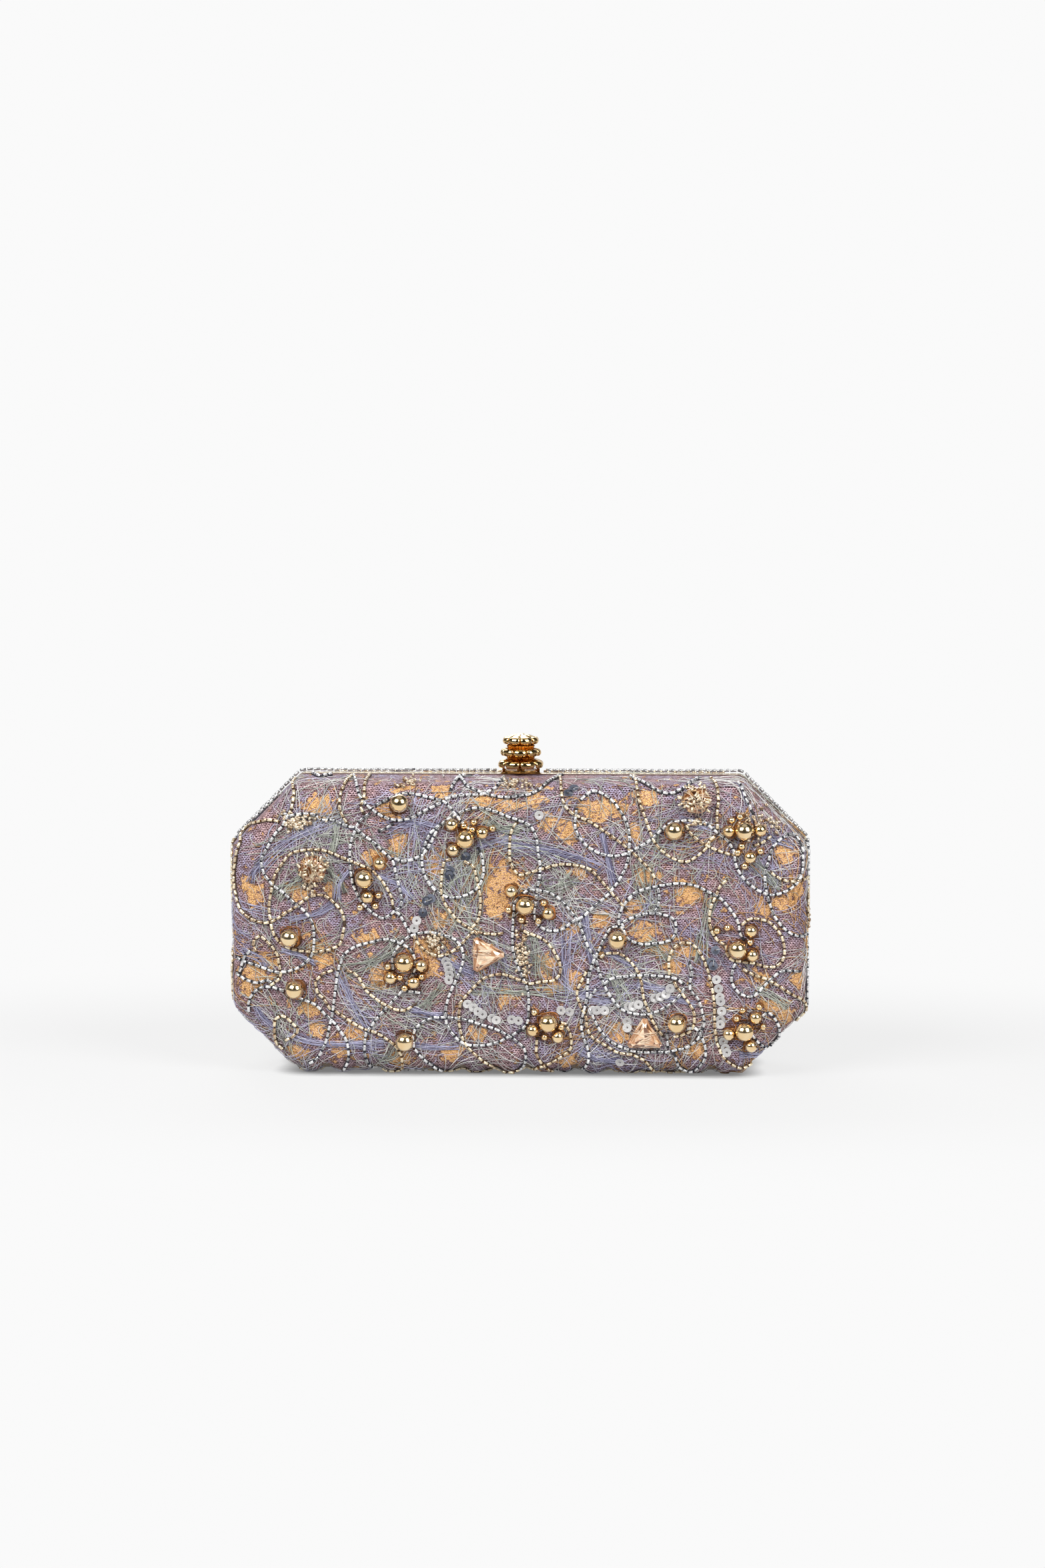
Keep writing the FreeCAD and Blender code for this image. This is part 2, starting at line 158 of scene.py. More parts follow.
# Strands on the front face, as (x, z) where the line of sight crosses the reading plane.
SILVER_STRANDS = [
    [
        (-74.5, 86.5), (-77, 82.3), (-79.5, 79.5), (-82, 75), (-83.7, 71.5), (-82.8, 67), (-80, 63.3),
        (-76.5, 60.7), (-73, 57.3), (-70, 55), (-67.5, 51.5), (-66.8, 48), (-66.7, 44), (-67.6, 40),
        (-70.5, 37), (-74, 35.2), (-79, 34.5), (-83, 35.8), (-87, 37.2), (-90, 38.3), (-92, 39.7),
    ],
    [
        (-76.5, 87), (-74.5, 86), (-72, 86.5), (-69, 86.7), (-66, 86.3), (-64, 84.8), (-60, 84.6),
        (-57, 83.2), (-53, 82), (-50.5, 80), (-46.5, 77), (-43.5, 74), (-40.8, 71.3), (-39.7, 67),
        (-38.6, 62.5), (-37.9, 58.5), (-38.5, 56), (-40, 55),
    ],
    [
        (-53, 81.5), (-54.5, 77), (-54.8, 71), (-54, 64.5), (-52, 59.5), (-48.5, 55.2), (-44, 52.6),
        (-40, 55),
    ],
    [(-40, 55), (-38.3, 53.3), (-36.8, 50.5), (-35, 47.6)],
    [
        (-53.5, 99), (-52.3, 95), (-50.8, 91.3), (-47, 87.8), (-43, 85.5), (-38.5, 84.7), (-34.5, 85.5),
        (-30.5, 87.8), (-27, 89.3), (-24, 91),
    ],
    [
        (-46.5, 89.3), (-43, 91), (-39, 92.8), (-35, 93.2), (-31, 92.4), (-27, 91.6), (-23.5, 90.4),
        (-20.5, 87), (-18, 84), (-15.5, 81.5),
    ],
    [(-24, 91.3), (-20.5, 92.3), (-16.5, 92.8), (-12, 92.9), (-9, 94), (-6.3, 96), (-4, 99)],
    [
        (-19, 98.7), (-17, 96.2), (-13.5, 94.2), (-9, 92.8), (-4, 92.1), (0.5, 92.6), (5, 93.5),
        (9, 96.3), (14.5, 99.6),
    ],
    [(-22, 94), (-20.5, 96.8), (-18.8, 98.6), (-15, 99.2)],
    [
        (-25.3, 83.5), (-28.5, 80.3), (-30.5, 76), (-31.2, 71), (-30, 66), (-26.8, 61.8), (-22, 59.4),
        (-17, 60.3), (-13, 62.8), (-11.2, 67), (-11.5, 72), (-12.7, 76),
    ],
    [
        (-31, 73.5), (-28.8, 76.5), (-27, 80), (-25, 83.3), (-20.5, 86.3), (-17, 88), (-12.5, 88.8),
        (-7.5, 87.7), (-3, 86), (1, 84.6), (4.5, 82.6), (6.2, 78.5), (6.8, 73.5), (7.4, 69), (6.8, 64.5),
        (6, 59.5), (5.4, 54), (6.5, 51), (9.3, 49), (12.5, 48.8), (15, 49.5), (18, 51.8), (21.5, 53.5),
    ],
    [(-40.5, 72.3), (-37.5, 71.4), (-34, 72), (-31.3, 73.6)],
    [(-45.5, 81), (-43, 82), (-40.5, 83.7)],
    [
        (21.5, 53.5), (25.5, 57.3), (29.5, 60.8), (33, 65.5), (35.6, 71), (36.3, 77), (36, 82.5),
        (33.5, 87.8), (29.5, 92.3), (24.5, 94), (20.3, 91.3),
    ],
    [
        (19.2, 89), (18.7, 83), (20.5, 78.8), (24, 75.6), (28.5, 73.7), (33.5, 73.6), (38.5, 75.8),
        (43, 78.5), (46.5, 81.7), (50, 84.2), (55, 85), (60.5, 84.4), (64, 81.8), (68, 78.7), (70.2, 75),
        (71, 70.5), (73.5, 66.2), (77.5, 62.8), (82, 60.9), (86.5, 61.8), (90, 64.3), (92, 68),
        (92.2, 73), (91.3, 78),
    ],
    [
        (91.3, 78), (89.5, 80.3), (86, 79.5), (83, 76.5), (81.5, 72), (80.4, 67.5), (80.8, 62.5),
        (82.2, 57.5), (84.3, 52.8), (88, 48.8), (91.5, 47.4), (94.8, 48.5),
    ],
    [
        (1.2, 60.8), (4, 62), (8, 61.8), (12, 60.4), (15, 57.8), (18, 54.2), (20, 51.3), (21.7, 46.8),
        (23.3, 43), (25.5, 39.5), (26.6, 35.3), (28.5, 30.5), (31, 26.3), (34.3, 22.9), (38.5, 21.5),
        (42.3, 21.3), (46.3, 22.7), (49.5, 24.5), (52.3, 26.9), (54.5, 30),
    ],
    [(37.5, 60.2), (35, 57.8), (33.4, 54.8), (33, 51.5), (34.3, 49)],
    [
        (35.5, 58.8), (38.5, 61.5), (43, 63), (48, 64), (53, 64.5), (58, 63.7), (62, 61.8), (66, 59.7),
        (69, 56.3), (71.5, 52.5), (72.6, 48), (73.8, 45.8),
    ],
    [(45.6, 63.5), (46.1, 60), (45.7, 57), (44.5, 54.8)],
    [
        (34, 51.5), (38, 53.4), (43, 54.6), (47.5, 54.2), (50.8, 52.8), (51.7, 50), (50.8, 46.8),
        (48.5, 45.4), (45, 44.8), (41, 44.5), (37.5, 45.4), (35.3, 47.3), (34, 51.5),
    ],
    [(36.5, 98.8), (40, 97.3), (44.5, 94.9), (48.5, 93.5), (52, 94.2), (55.5, 96.5), (59, 98.6)],
    [(71.5, 97), (73, 94), (74.5, 90.5), (76.5, 87)],
    [
        (33, 50.3), (30.5, 49.6), (28.5, 46.7), (26.6, 42.5), (24.3, 37.5), (23, 32.5), (22.7, 27),
        (21.7, 22.3), (20.8, 18.5), (21.5, 13.8), (23, 9.8), (23.2, 6), (21, 3),
    ],
    [(26, 30), (24, 27.4), (22.6, 25.3)],
    [
        (23.3, 23.5), (24.9, 20), (26.8, 16.3), (29.5, 13), (32.5, 11.2), (35, 10.2), (38, 9.2),
        (41.5, 8.9), (45, 9.1), (48.7, 9), (52, 9.7), (55.3, 10.6), (58.7, 13.1), (60.6, 17),
    ],
    [
        (28, 31), (30.5, 33), (34, 33.6), (38, 34.1), (43, 34.2), (48, 33.9), (50.5, 33.5), (52.5, 32.7),
        (54.3, 31.2),
    ],
    [
        (56, 38.5), (56.9, 35.3), (56.2, 31.5), (56.8, 29), (59, 26.5), (60.3, 22.5), (61, 18.8),
        (60.4, 16),
    ],
    [
        (55, 16.6), (58, 16.9), (60, 14.3), (61.4, 10.5), (61.2, 7), (59, 4), (56, 2.9), (53, 4.3),
        (51.8, 7), (50.8, 9.5),
    ],
    [(49, 15.5), (49, 12.5), (49.2, 10.3)],
    [
        (71.3, 39), (70.3, 36.5), (69.8, 33), (71, 30), (73.7, 27.9), (77, 27.6), (79.8, 30.3),
        (83, 33.6), (86.5, 35.9), (92, 35.8),
    ],
    [(79.5, 21), (82, 22.1), (84.4, 19.5), (85.2, 16), (83.8, 13.2), (81.2, 11)],
    [(76.2, 15.3), (78.2, 12.8), (80.8, 10.8)],
    [
        (-57.3, 39.5), (-58.8, 35.5), (-59.5, 31), (-60.2, 26), (-60.8, 21), (-61.8, 16.5), (-62.9, 12),
        (-64.2, 9), (-66, 6.3), (-68.8, 4.5),
    ],
    [
        (-58, 38.8), (-56, 41.3), (-52.5, 43.4), (-48, 44.6), (-43, 45.6), (-39, 44.5), (-35.6, 42.6),
        (-33.8, 39.5), (-33.7, 35.5), (-36, 31.5), (-39, 27.3), (-43, 23), (-46.5, 19), (-49.3, 15.2),
    ],
    [(-49.6, 15.5), (-50.2, 11.5), (-50.2, 7.5), (-49, 4.6), (-46.3, 2.7), (-43, 2.2)],
    [
        (-88, 21.5), (-88, 25), (-86, 28.2), (-82.5, 29.7), (-77.5, 28.7), (-71, 25.8), (-66.5, 23.9),
        (-63.3, 20.8), (-60.5, 18.2), (-58.5, 15.5), (-56.5, 12.5), (-55.7, 9.5), (-55.7, 6),
        (-56.8, 3.5), (-57.5, 2.2),
    ],
    [(-92, 34.3), (-89, 32.1), (-85.5, 31), (-82.5, 31.7), (-80, 31)],
    [(-87.3, 41.8), (-89.3, 39.5), (-90.2, 36.5), (-91, 33.8)],
    [
        (-40.7, 35), (-41, 39), (-39.5, 42.5), (-37, 45.5), (-33.5, 47.3), (-29, 48), (-24.5, 47.1),
        (-20.3, 45.5), (-18, 42), (-18, 38), (-19.5, 33.8), (-21.7, 29), (-23.2, 24.5), (-23.7, 20.5),
        (-22.8, 16.8), (-20.3, 13.3), (-16.5, 11), (-11.5, 10.8), (-7, 11.7), (-3, 13.6), (1.2, 15.9),
    ],
    [
        (1.2, 15.9), (3.2, 18.5), (3.6, 23), (3.4, 28.5), (2.1, 32.2), (0, 37), (-1.3, 41), (-1.7, 45),
        (-1.6, 49), (-1.4, 53), (-1, 57.5), (0.3, 59.8),
    ],
    [
        (-24.3, 2.5), (-28.5, 4.6), (-32, 7.3), (-34.1, 10.5), (-34, 15), (-31.6, 18), (-27.5, 19.8),
        (-22.5, 19.9), (-17, 19.2), (-12, 17.7), (-7, 16.1), (-2.8, 13.9), (0.2, 11.8), (2.2, 9.6),
        (2.6, 7), (1.8, 4.6), (0, 2.8),
    ],
    [(-38.6, 28.6), (-35.5, 28.4), (-31.5, 28)],
    [(-67, 100), (-64.5, 98.6), (-60.5, 99.2)],
    [(-53, 82), (-51, 84.8), (-48, 87)],
    [(-78, 93), (-81.5, 90), (-84.5, 87.5), (-87, 84)],
]
GOLD_STRANDS = [
    [
        (-80.8, 51.5), (-81.2, 54), (-81.3, 57), (-80.3, 62.5), (-79.5, 66), (-77.2, 70), (-74, 73.5),
        (-69, 74.8), (-63, 74.6), (-57.5, 72.5), (-52, 70.2), (-48, 68.5), (-44.5, 65), (-41.5, 60),
        (-40.6, 55.5),
    ],
    [
        (-77.5, 84), (-81.5, 84.3), (-85.5, 83.3), (-88.5, 81.5), (-90.3, 77.5), (-91.8, 72),
        (-92.4, 66), (-91.8, 60), (-90.3, 55), (-87, 52), (-83, 50.8), (-79.5, 51.7), (-76, 54),
        (-72, 56.5), (-68.5, 59.3), (-64, 60), (-60.5, 58), (-57.5, 54.5), (-56.5, 50),
    ],
    [(-72, 98), (-72.7, 94), (-73.3, 89.5), (-74.5, 86.3)],
    [(-54, 98.7), (-56.3, 96.3), (-57.8, 92.5), (-58, 88.5), (-56.8, 85.5), (-55, 82.8)],
    [(-48, 99.5), (-49.8, 96), (-50, 92.5), (-51, 89), (-50, 86.5)],
    [
        (-21.5, 72.2), (-24, 70.8), (-24.8, 66), (-24.9, 61), (-23.5, 57), (-21, 53.5), (-18, 50.8),
        (-15, 49), (-13, 47.5),
    ],
    [(-17.5, 71.5), (-14.5, 69.5), (-13.3, 65.5), (-12.3, 60.5), (-12.2, 56), (-13, 52), (-15, 49.5)],
    [
        (-0.3, 84.5), (-2.2, 80.5), (-2.6, 76), (-2.4, 71.5), (-1, 68.5), (0.8, 67), (4, 67.8),
        (9, 69.3), (14, 70.5), (19, 70.2), (23.5, 69), (27, 65.5), (30, 62), (33, 58.6), (35.7, 55.3),
    ],
    [
        (13.8, 98.8), (14.2, 94), (15.2, 90), (17.3, 87.5), (19.5, 86.3), (22, 85.2), (24.3, 84),
        (26.5, 82.5), (28.5, 81.2), (31, 79.5), (35, 76.5), (38.5, 73.4), (42, 70), (45, 66),
    ],
    [
        (37.5, 99.3), (38.8, 95), (39.6, 91), (41.2, 86.5), (43, 81.5), (44.8, 77.5), (48, 74.2),
        (51.5, 72.2), (55, 71.6), (58, 73.2), (61.3, 76), (62.6, 78.6), (65.2, 81),
    ],
    [(54.5, 84), (56.5, 80.5), (60, 77.8), (64, 75.7), (68.5, 74.2), (72, 73.5)],
    [(62.5, 98.5), (64.7, 95.5), (65.1, 91), (64.7, 86.5), (65, 82)],
    [(82.5, 80.3), (79.5, 78), (76.5, 76.8)],
    [(82, 68.5), (84.5, 66.7), (88, 65.4), (91.3, 65.6), (94, 67.3)],
    [
        (68.3, 65.8), (66, 63.8), (64.6, 60.5), (63, 57), (62.5, 53), (63, 49.5), (64.5, 46.8),
        (65.8, 45.3), (67.8, 44.3), (68.2, 41.7), (69.8, 39.6), (73, 38.9), (77, 38.4), (81, 37.3),
        (84.5, 37.6), (86.6, 40.3), (86.8, 44), (85.8, 47.5), (84, 50), (82, 51.8), (79, 52.9),
        (75.5, 52.9), (73, 51),
    ],
    [
        (-85.6, 41), (-86.5, 44), (-84.5, 46.4), (-81.5, 44), (-79, 41), (-78.2, 37), (-77.7, 33.3),
        (-79.5, 31.2), (-82.5, 29.5),
    ],
    [
        (-80.9, 51), (-80, 47.5), (-77.8, 44.3), (-74, 42.2), (-69, 41.4), (-64.5, 41.5), (-60.5, 42.5),
        (-58, 44.3), (-57.2, 47.5), (-56.6, 51),
    ],
    [(-60.2, 35.3), (-63.8, 34.1), (-66.2, 31.2), (-65.6, 28), (-63.3, 25.3), (-61.5, 22.3)],
    [
        (-60, 21.8), (-57, 19.8), (-53.5, 17.6), (-50.3, 15.9), (-47, 14.9), (-44, 13.3), (-41.5, 11.5),
        (-39, 8.8), (-38, 6), (-38.3, 3.2), (-41, 2.2), (-44.5, 2.2),
    ],
    [
        (-76.5, 9), (-79, 11.5), (-79.8, 15.5), (-79.3, 19), (-77, 20), (-74.5, 18.2), (-72.3, 15.5),
        (-73.8, 13.2), (-76.5, 12),
    ],
    [
        (-34.2, 47.5), (-32.6, 44.3), (-29.3, 41.3), (-25.5, 40.2), (-22.3, 41.2), (-19.3, 43.3),
        (-16.8, 45.9), (-14.3, 48.3), (-11, 47.7), (-7.5, 47.5), (-4.5, 47.9),
    ],
    [
        (-19.3, 24), (-17, 27), (-14, 30.3), (-11, 32.9), (-7.5, 34.1), (-4, 34.1), (0.5, 32.5),
        (4, 31.3), (7.5, 31.9), (11.8, 32.5), (13.9, 35), (13.6, 38.5), (11.8, 42), (8.7, 45.6),
        (4.2, 47.7), (0.5, 49),
    ],
    [
        (-18.6, 25.5), (-19.2, 21.5), (-19.1, 17.5), (-18.2, 13.5), (-16.2, 10), (-13, 7), (-9.5, 4.7),
        (-5.5, 3), (-0.5, 2.7), (4, 3.3), (7.5, 4), (11, 5.4), (14.5, 7.4), (17.1, 9.6), (17.6, 12),
        (17.1, 15), (15.5, 18), (13.3, 18.5),
    ],
    [(6.4, 13.5), (6.1, 10), (6.5, 7.2), (8.2, 4.8), (9.8, 3.2), (11.5, 2.5)],
    [
        (22.8, 36), (20.7, 31.8), (19.4, 28.2), (20.5, 24), (22.3, 20.6), (22.8, 16.8), (24.6, 13.6),
        (28.5, 11.2), (33, 8.7), (38, 7.9), (42.3, 5.7), (45, 3),
    ],
    [
        (26.6, 39.7), (29, 41.3), (33, 41.3), (36, 39.5), (39, 35.8), (40.4, 32), (40.9, 28), (41.8, 25),
        (43.2, 21.8), (44.7, 18), (46.5, 15.5), (48, 14),
    ],
    [
        (49.6, 34), (49.4, 39.5), (50.9, 43), (54, 45), (57.3, 44.3), (60, 40.8), (62, 36), (63.4, 30.5),
        (64.2, 25), (64.4, 18), (65.2, 12.5), (67, 8), (70, 5.3), (73.5, 4.2), (77, 5),
    ],
    [
        (50.8, 32.5), (52.6, 29.7), (55.6, 25.8), (57.5, 22.3), (57.7, 18.8), (56.8, 16.2), (54.5, 14.9),
        (51, 13.9),
    ],
    [
        (73, 36.8), (77, 34.6), (81, 33.3), (85, 31.1), (89, 28.4), (92.5, 26.4), (93.7, 24),
        (92.3, 21.2), (90.5, 19.5),
    ],
    [
        (-56.5, 35.3), (-53.5, 34.3), (-51.3, 31.7), (-49.8, 28.8), (-47, 26.3), (-44, 24.3),
        (-41.5, 23), (-39, 22.2), (-37, 22.3), (-34.5, 23.5), (-33, 24.5),
    ],
]

# Sequins on the front face, as (x, z) read on the same plane.
DARK_SEQUINS = [
    (-22, 68.5), (-22.3, 66.8), (-28.2, 59.2), (-29.8, 58.3), (-31, 54.5), (16.5, 93.5), (18.3, 95),
    (64.5, 42.7), (63.1, 38.9), (63.8, 37.5), (-16.8, 73),
]
CLEAR_SEQUINS = [
    (-33, 51.8), (-33.8, 49.3), (7, 86.5), (-23.5, 38.5), (-22.8, 37), (-22.5, 35.6), (-22.3, 34),
    (-22.5, 32.3), (-16.5, 24.5), (-14.5, 23.3), (-13, 22), (-11.5, 21), (-8.5, 19.8), (-7, 19.2),
    (-2, 19.4), (0.3, 19), (14.2, 22.5), (17, 22.1), (24.5, 22.6), (25.9, 22.6), (28.5, 22.5),
    (36.2, 24), (37.6, 23.9), (39.5, 24.6), (44.7, 26.8), (46.6, 27.2), (48.4, 28), (49.8, 30),
    (35.8, 19), (35.8, 16.9), (64.9, 33), (65.6, 30), (66, 27.3), (66.3, 25.8), (66.6, 22.6),
    (66.2, 19.9), (66.2, 18.2), (67.3, 12.6), (67.9, 10.5), (68.4, 9), (33.5, 5.7),
]

# Foil glimpses under the net, as (x, z, width, height).
FOIL_SPOTS = [
    (-65, 88.5, 7, 4), (-72, 60.5, 4, 3), (-86, 59, 3, 4), (-88.5, 63, 3, 3), (-60.5, 62.5, 4, 3),
    (-47, 72, 4, 3), (-38, 97, 6, 4), (-42, 88, 4, 3), (-38.5, 78, 3, 3), (-38.5, 74.5, 3, 2),
    (-27, 71, 3, 4), (-26, 68, 3, 3), (-4, 65, 8, 7), (-7, 58, 6, 6), (-3, 89.5, 6, 2),
    (-12.5, 90.5, 4, 2.5), (-24.5, 94, 5, 3), (-25, 52, 4, 3), (7.5, 97.5, 5, 3), (5.5, 91.5, 4, 3),
    (27, 88, 12, 4), (16, 81, 4, 4), (10, 84.5, 4, 3), (42, 92, 4, 3), (38, 80, 3, 4), (27, 52, 4, 4),
    (20, 68.5, 5, 3), (42, 66, 5, 4), (40, 48.5, 6, 4), (38, 57, 4, 3), (53, 98, 6, 3),
    (56, 61.5, 5, 5), (87, 74.5, 4, 4), (91, 62.5, 3, 5), (86, 58, 4, 3), (80, 56, 3, 3),
    (-65, 38.5, 4, 3), (-66, 42.5, 3, 3), (-82, 37.5, 6, 2.5), (-87, 33.5, 7, 3), (-88, 29, 4, 4),
    (-53, 14, 5, 3), (-66, 15, 3, 3), (-50, 46, 4, 3), (-69, 22, 4, 3), (-72, 7.5, 4, 3),
    (-58, 8, 3, 3), (-45.5, 33, 4, 5), (-30, 43, 6, 3), (-28, 37, 4, 4), (-22, 7.5, 5, 3),
    (-4, 26, 4, 3), (-14, 14, 4, 3), (-39.5, 5.5, 4, 3), (18.5, 33, 4, 4), (17, 48, 3, 3),
    (12, 30, 4, 3), (9.5, 37, 4, 4), (33, 15, 4, 4), (47, 43, 4, 3), (16, 6, 4, 3), (54, 43, 7, 4),
    (51, 37, 4, 3), (92, 33, 3, 3), (80, 33, 4, 3), (84, 24, 4, 3), (88, 21, 3, 4), (58, 9.5, 4, 3),
]

# Loose bundles of floss, as (points, width).
LAVENDER_BUNDLES = [
    ([(-82, 71), (-76, 76.5), (-68, 81), (-60, 84)], 2.0), ([(-87, 65), (-84, 70)], 1.5),
    ([(-59, 60), (-56, 67)], 1.5), ([(-72, 52), (-62, 56)], 1.5),
    ([(-41, 82), (-35, 83.5), (-29, 82.5)], 3.0), ([(-12, 76), (-3, 78)], 3.0),
    ([(0, 76), (10, 75), (20, 72), (25, 70)], 3.0), ([(22, 52), (24, 40)], 1.5),
    ([(54, 85), (62, 83)], 1.5), ([(80, 81), (88, 77)], 1.5), ([(-89, 41), (-83, 37)], 1.5),
    ([(-76, 41), (-68, 38)], 1.5), ([(-58, 33), (-56, 28), (-53, 22), (-50, 17)], 2.0),
    ([(-72, 13), (-64, 10.5), (-50, 10.5)], 2.0), ([(-85, 22), (-80, 17)], 1.5),
    ([(-24, 39), (-16, 35)], 1.5), ([(-34, 22), (-26, 20)], 1.5), ([(-35, 10.5), (-22, 10.5)], 1.5),
    ([(15.5, 45), (15.5, 30)], 2.0), ([(30, 41), (38, 37)], 1.5), ([(20, 28), (28, 26)], 1.5),
    ([(22, 8), (32, 6)], 1.5), ([(41, 31), (49, 29)], 1.5), ([(49, 27), (57, 25)], 1.5),
    ([(74, 8), (82, 6)], 1.5), ([(-46, 66), (-36, 61)], 1.5), ([(28, 78), (31, 66)], 1.5),
]
SAGE_BUNDLES = [
    ([(-78, 60), (-72, 65)], 3.0), ([(-60, 75), (-59, 82)], 2.0), ([(-62, 70), (-58, 62)], 3.0),
    ([(-22, 64), (-15, 70)], 4.0), ([(-9, 84), (-1, 82)], 2.0), ([(40, 68), (43, 57)], 3.0),
    ([(63, 58), (60, 42)], 3.0), ([(-55, 36), (-47, 39), (-40, 44)], 4.0), ([(-30, 24), (-25, 30)], 3.0),
    ([(-10, 29), (2, 28.5), (13, 28)], 2.5), ([(-45, 6), (-41, 10)], 3.0), ([(5, 45), (8, 35)], 3.0),
    ([(31, 33), (34, 25)], 2.5), ([(43, 44), (49, 40)], 2.5), ([(79, 29), (87, 25)], 2.5),
    ([(12, 62), (18, 66)], 3.0), ([(-70, 70), (-64, 66)], 3.0), ([(78, 70), (84, 64)], 2.5),
]

# Clear and gold seed beads in loose patches, as (x, z, width, height, how many).
SEED_PATCHES = [
    (-71.5, 84, 10, 4, 42), (-27.5, 44, 6, 5, 26), (1.8, 41, 4, 14, 34), (77, 84, 11, 7, 34),
    (-35.5, 96.5, 5, 3, 12), (-0.5, 96.5, 8, 2.5, 16), (95, 53.5, 1.5, 4, 6), (-68, 62.5, 6, 3, 10),
    (58, 84.5, 6, 2, 8),
]

# Crystals on a face: (x, z, size from middle to corner, corners, direction of the first corner).
CRYSTALS = [
    (-67, 68.5, 5.0, 6, 15),
    (-10.7, 40.8, 6.7, 3, 0),
    (58, 91, 5.0, 6, 0),
    (41.5, 14, 6.6, 3, 90),
]


# ---------------------------------------------------------------- meshes

def placed(name, data):
    """A new object in the scene."""
    made = bpy.data.objects.new(name, data)
    bpy.context.scene.collection.objects.link(made)
    return made


def make_piece(name, verts, faces, materials, body, face_slots=None, smooth=True, tints=None):
    """A mesh piece in millimetre verts, riding on a CAD body."""
    mesh = bpy.data.meshes.new(name)
    mesh.from_pydata((np.asarray(verts) * MM).tolist(), [], faces)
    for material in materials:
        mesh.materials.append(material)
    if face_slots is not None:
        mesh.polygons.foreach_set("material_index", np.asarray(face_slots, np.int32))
    mesh.polygons.foreach_set("use_smooth", np.full(len(faces), smooth))
    if tints is not None:
        tint = mesh.attributes.new("tint", "FLOAT", "POINT")
        tint.data.foreach_set("value", np.asarray(tints, np.float32))
    mesh.update()
    piece = placed(name, mesh)
    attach(piece, body)
    return piece


def for_side(verts, faces, hand):
    """Front verts and faces as they are, or mirrored for the rear with the faces turned over."""
    if hand < 0:
        return verts, faces
    return np.asarray(verts) * (1, -1, 1), [face[::-1] for face in faces]


class Heap:
    """Verts, faces, face slots, smooth flags and tints of many copies, gathered into one mesh."""

    def __init__(self):
        self.verts, self.faces, self.slots, self.smooth, self.tints = [], [], [], [], []
        self.count = 0

    def add(self, verts, faces, slots=0, smooth=True, tint=0.5):
        """Adds one copy; slots and smooth are one value or one a face, and tint one value or one a vert."""
        verts = np.array(verts, float)
        verts[:, 2] += max(0.0, FLOOR_GAP - verts[:, 2].min())
        self.verts.append(verts)
        start = self.count
        self.faces.extend([start + corner for corner in face] for face in faces)
        self.slots.extend(np.broadcast_to(slots, len(faces)).tolist())
        self.smooth.extend(np.broadcast_to(smooth, len(faces)).tolist())
        self.tints.extend(np.broadcast_to(tint, len(verts)).tolist())
        self.count += len(verts)

    def piece(self, name, materials, body, slot, hand=-1):
        """The gathered copies as one piece."""
        verts, faces = for_side(np.concatenate(self.verts), self.faces, hand)
        return make_piece(name, verts, faces, materials, body, self.slots, self.smooth, self.tints)


def band_faces(rows, size):
    """Quads between successive closed rows of verts."""
    faces = []
    for row in range(rows - 1):
        a, b = row * size, (row + 1) * size
        faces.extend([a + s, a + (s + 1) % size, b + (s + 1) % size, b + s] for s in range(size))
    return faces


def capped_bands(rows, size):
    """Quads between successive closed rows of verts, with a face over each end."""
    last = (rows - 1) * size
    return band_faces(rows, size) + [list(range(size))[::-1], list(range(last, last + size))]


def unit(vector):
    """A vector at length 1."""
    return vector / np.linalg.norm(vector)


def units(rows, least=1e-9):
    """Rows of vectors at length 1; least keeps a row of zeros finite."""
    return rows / (np.linalg.norm(rows, axis=1)[:, None] + least)


def turned_template(rings, sides):
    """Verts and faces of a shape turned about its own Z, through (radius, z) rings; radius 0 is a point."""
    verts = []
    starts = []
    for radius, z in rings:
        starts.append(len(verts))
        if radius == 0:
            verts.append((0.0, 0.0, z))
            continue
        for side in range(sides):
            around = 2 * math.pi * side / sides
            verts.append((radius * math.cos(around), radius * math.sin(around), z))
    faces = []
    bands = []
    for band, (here, there) in enumerate(zip(rings, rings[1:])):
        a, b = starts[band], starts[band + 1]
        for side in range(sides):
            after = (side + 1) % sides
            if here[0] == 0:
                face = [a, b + after, b + side]
            elif there[0] == 0:
                face = [a + side, a + after, b]
            else:
                face = [a + side, a + after, b + after, b + side]
            faces.append(face)
            bands.append(band)
    return np.array(verts), faces, bands


def tube(path, normals, radius, sides=4):
    """Verts and faces of a round thread along a path, its ends closed."""
    path = np.asarray(path)
    ahead = units(np.gradient(path, axis=0))
    across = units(np.cross(ahead, normals))
    upward = np.cross(across, ahead)
    around = 2 * np.pi * np.arange(sides)[None, :, None] / sides
    spread = np.cos(around) * upward[:, None] + np.sin(around) * across[:, None]
    verts = (path[:, None] + spread * radius).reshape(-1, 3)
    verts[:, 2] = np.maximum(verts[:, 2], FLOOR_GAP)
    return verts, capped_bands(len(path), sides)


# ---------------------------------------------------------------- tray surfaces

STRAIGHT_STEPS = {"side": 40, "cut": 24, "long": 104}
ARC_STEPS = 5


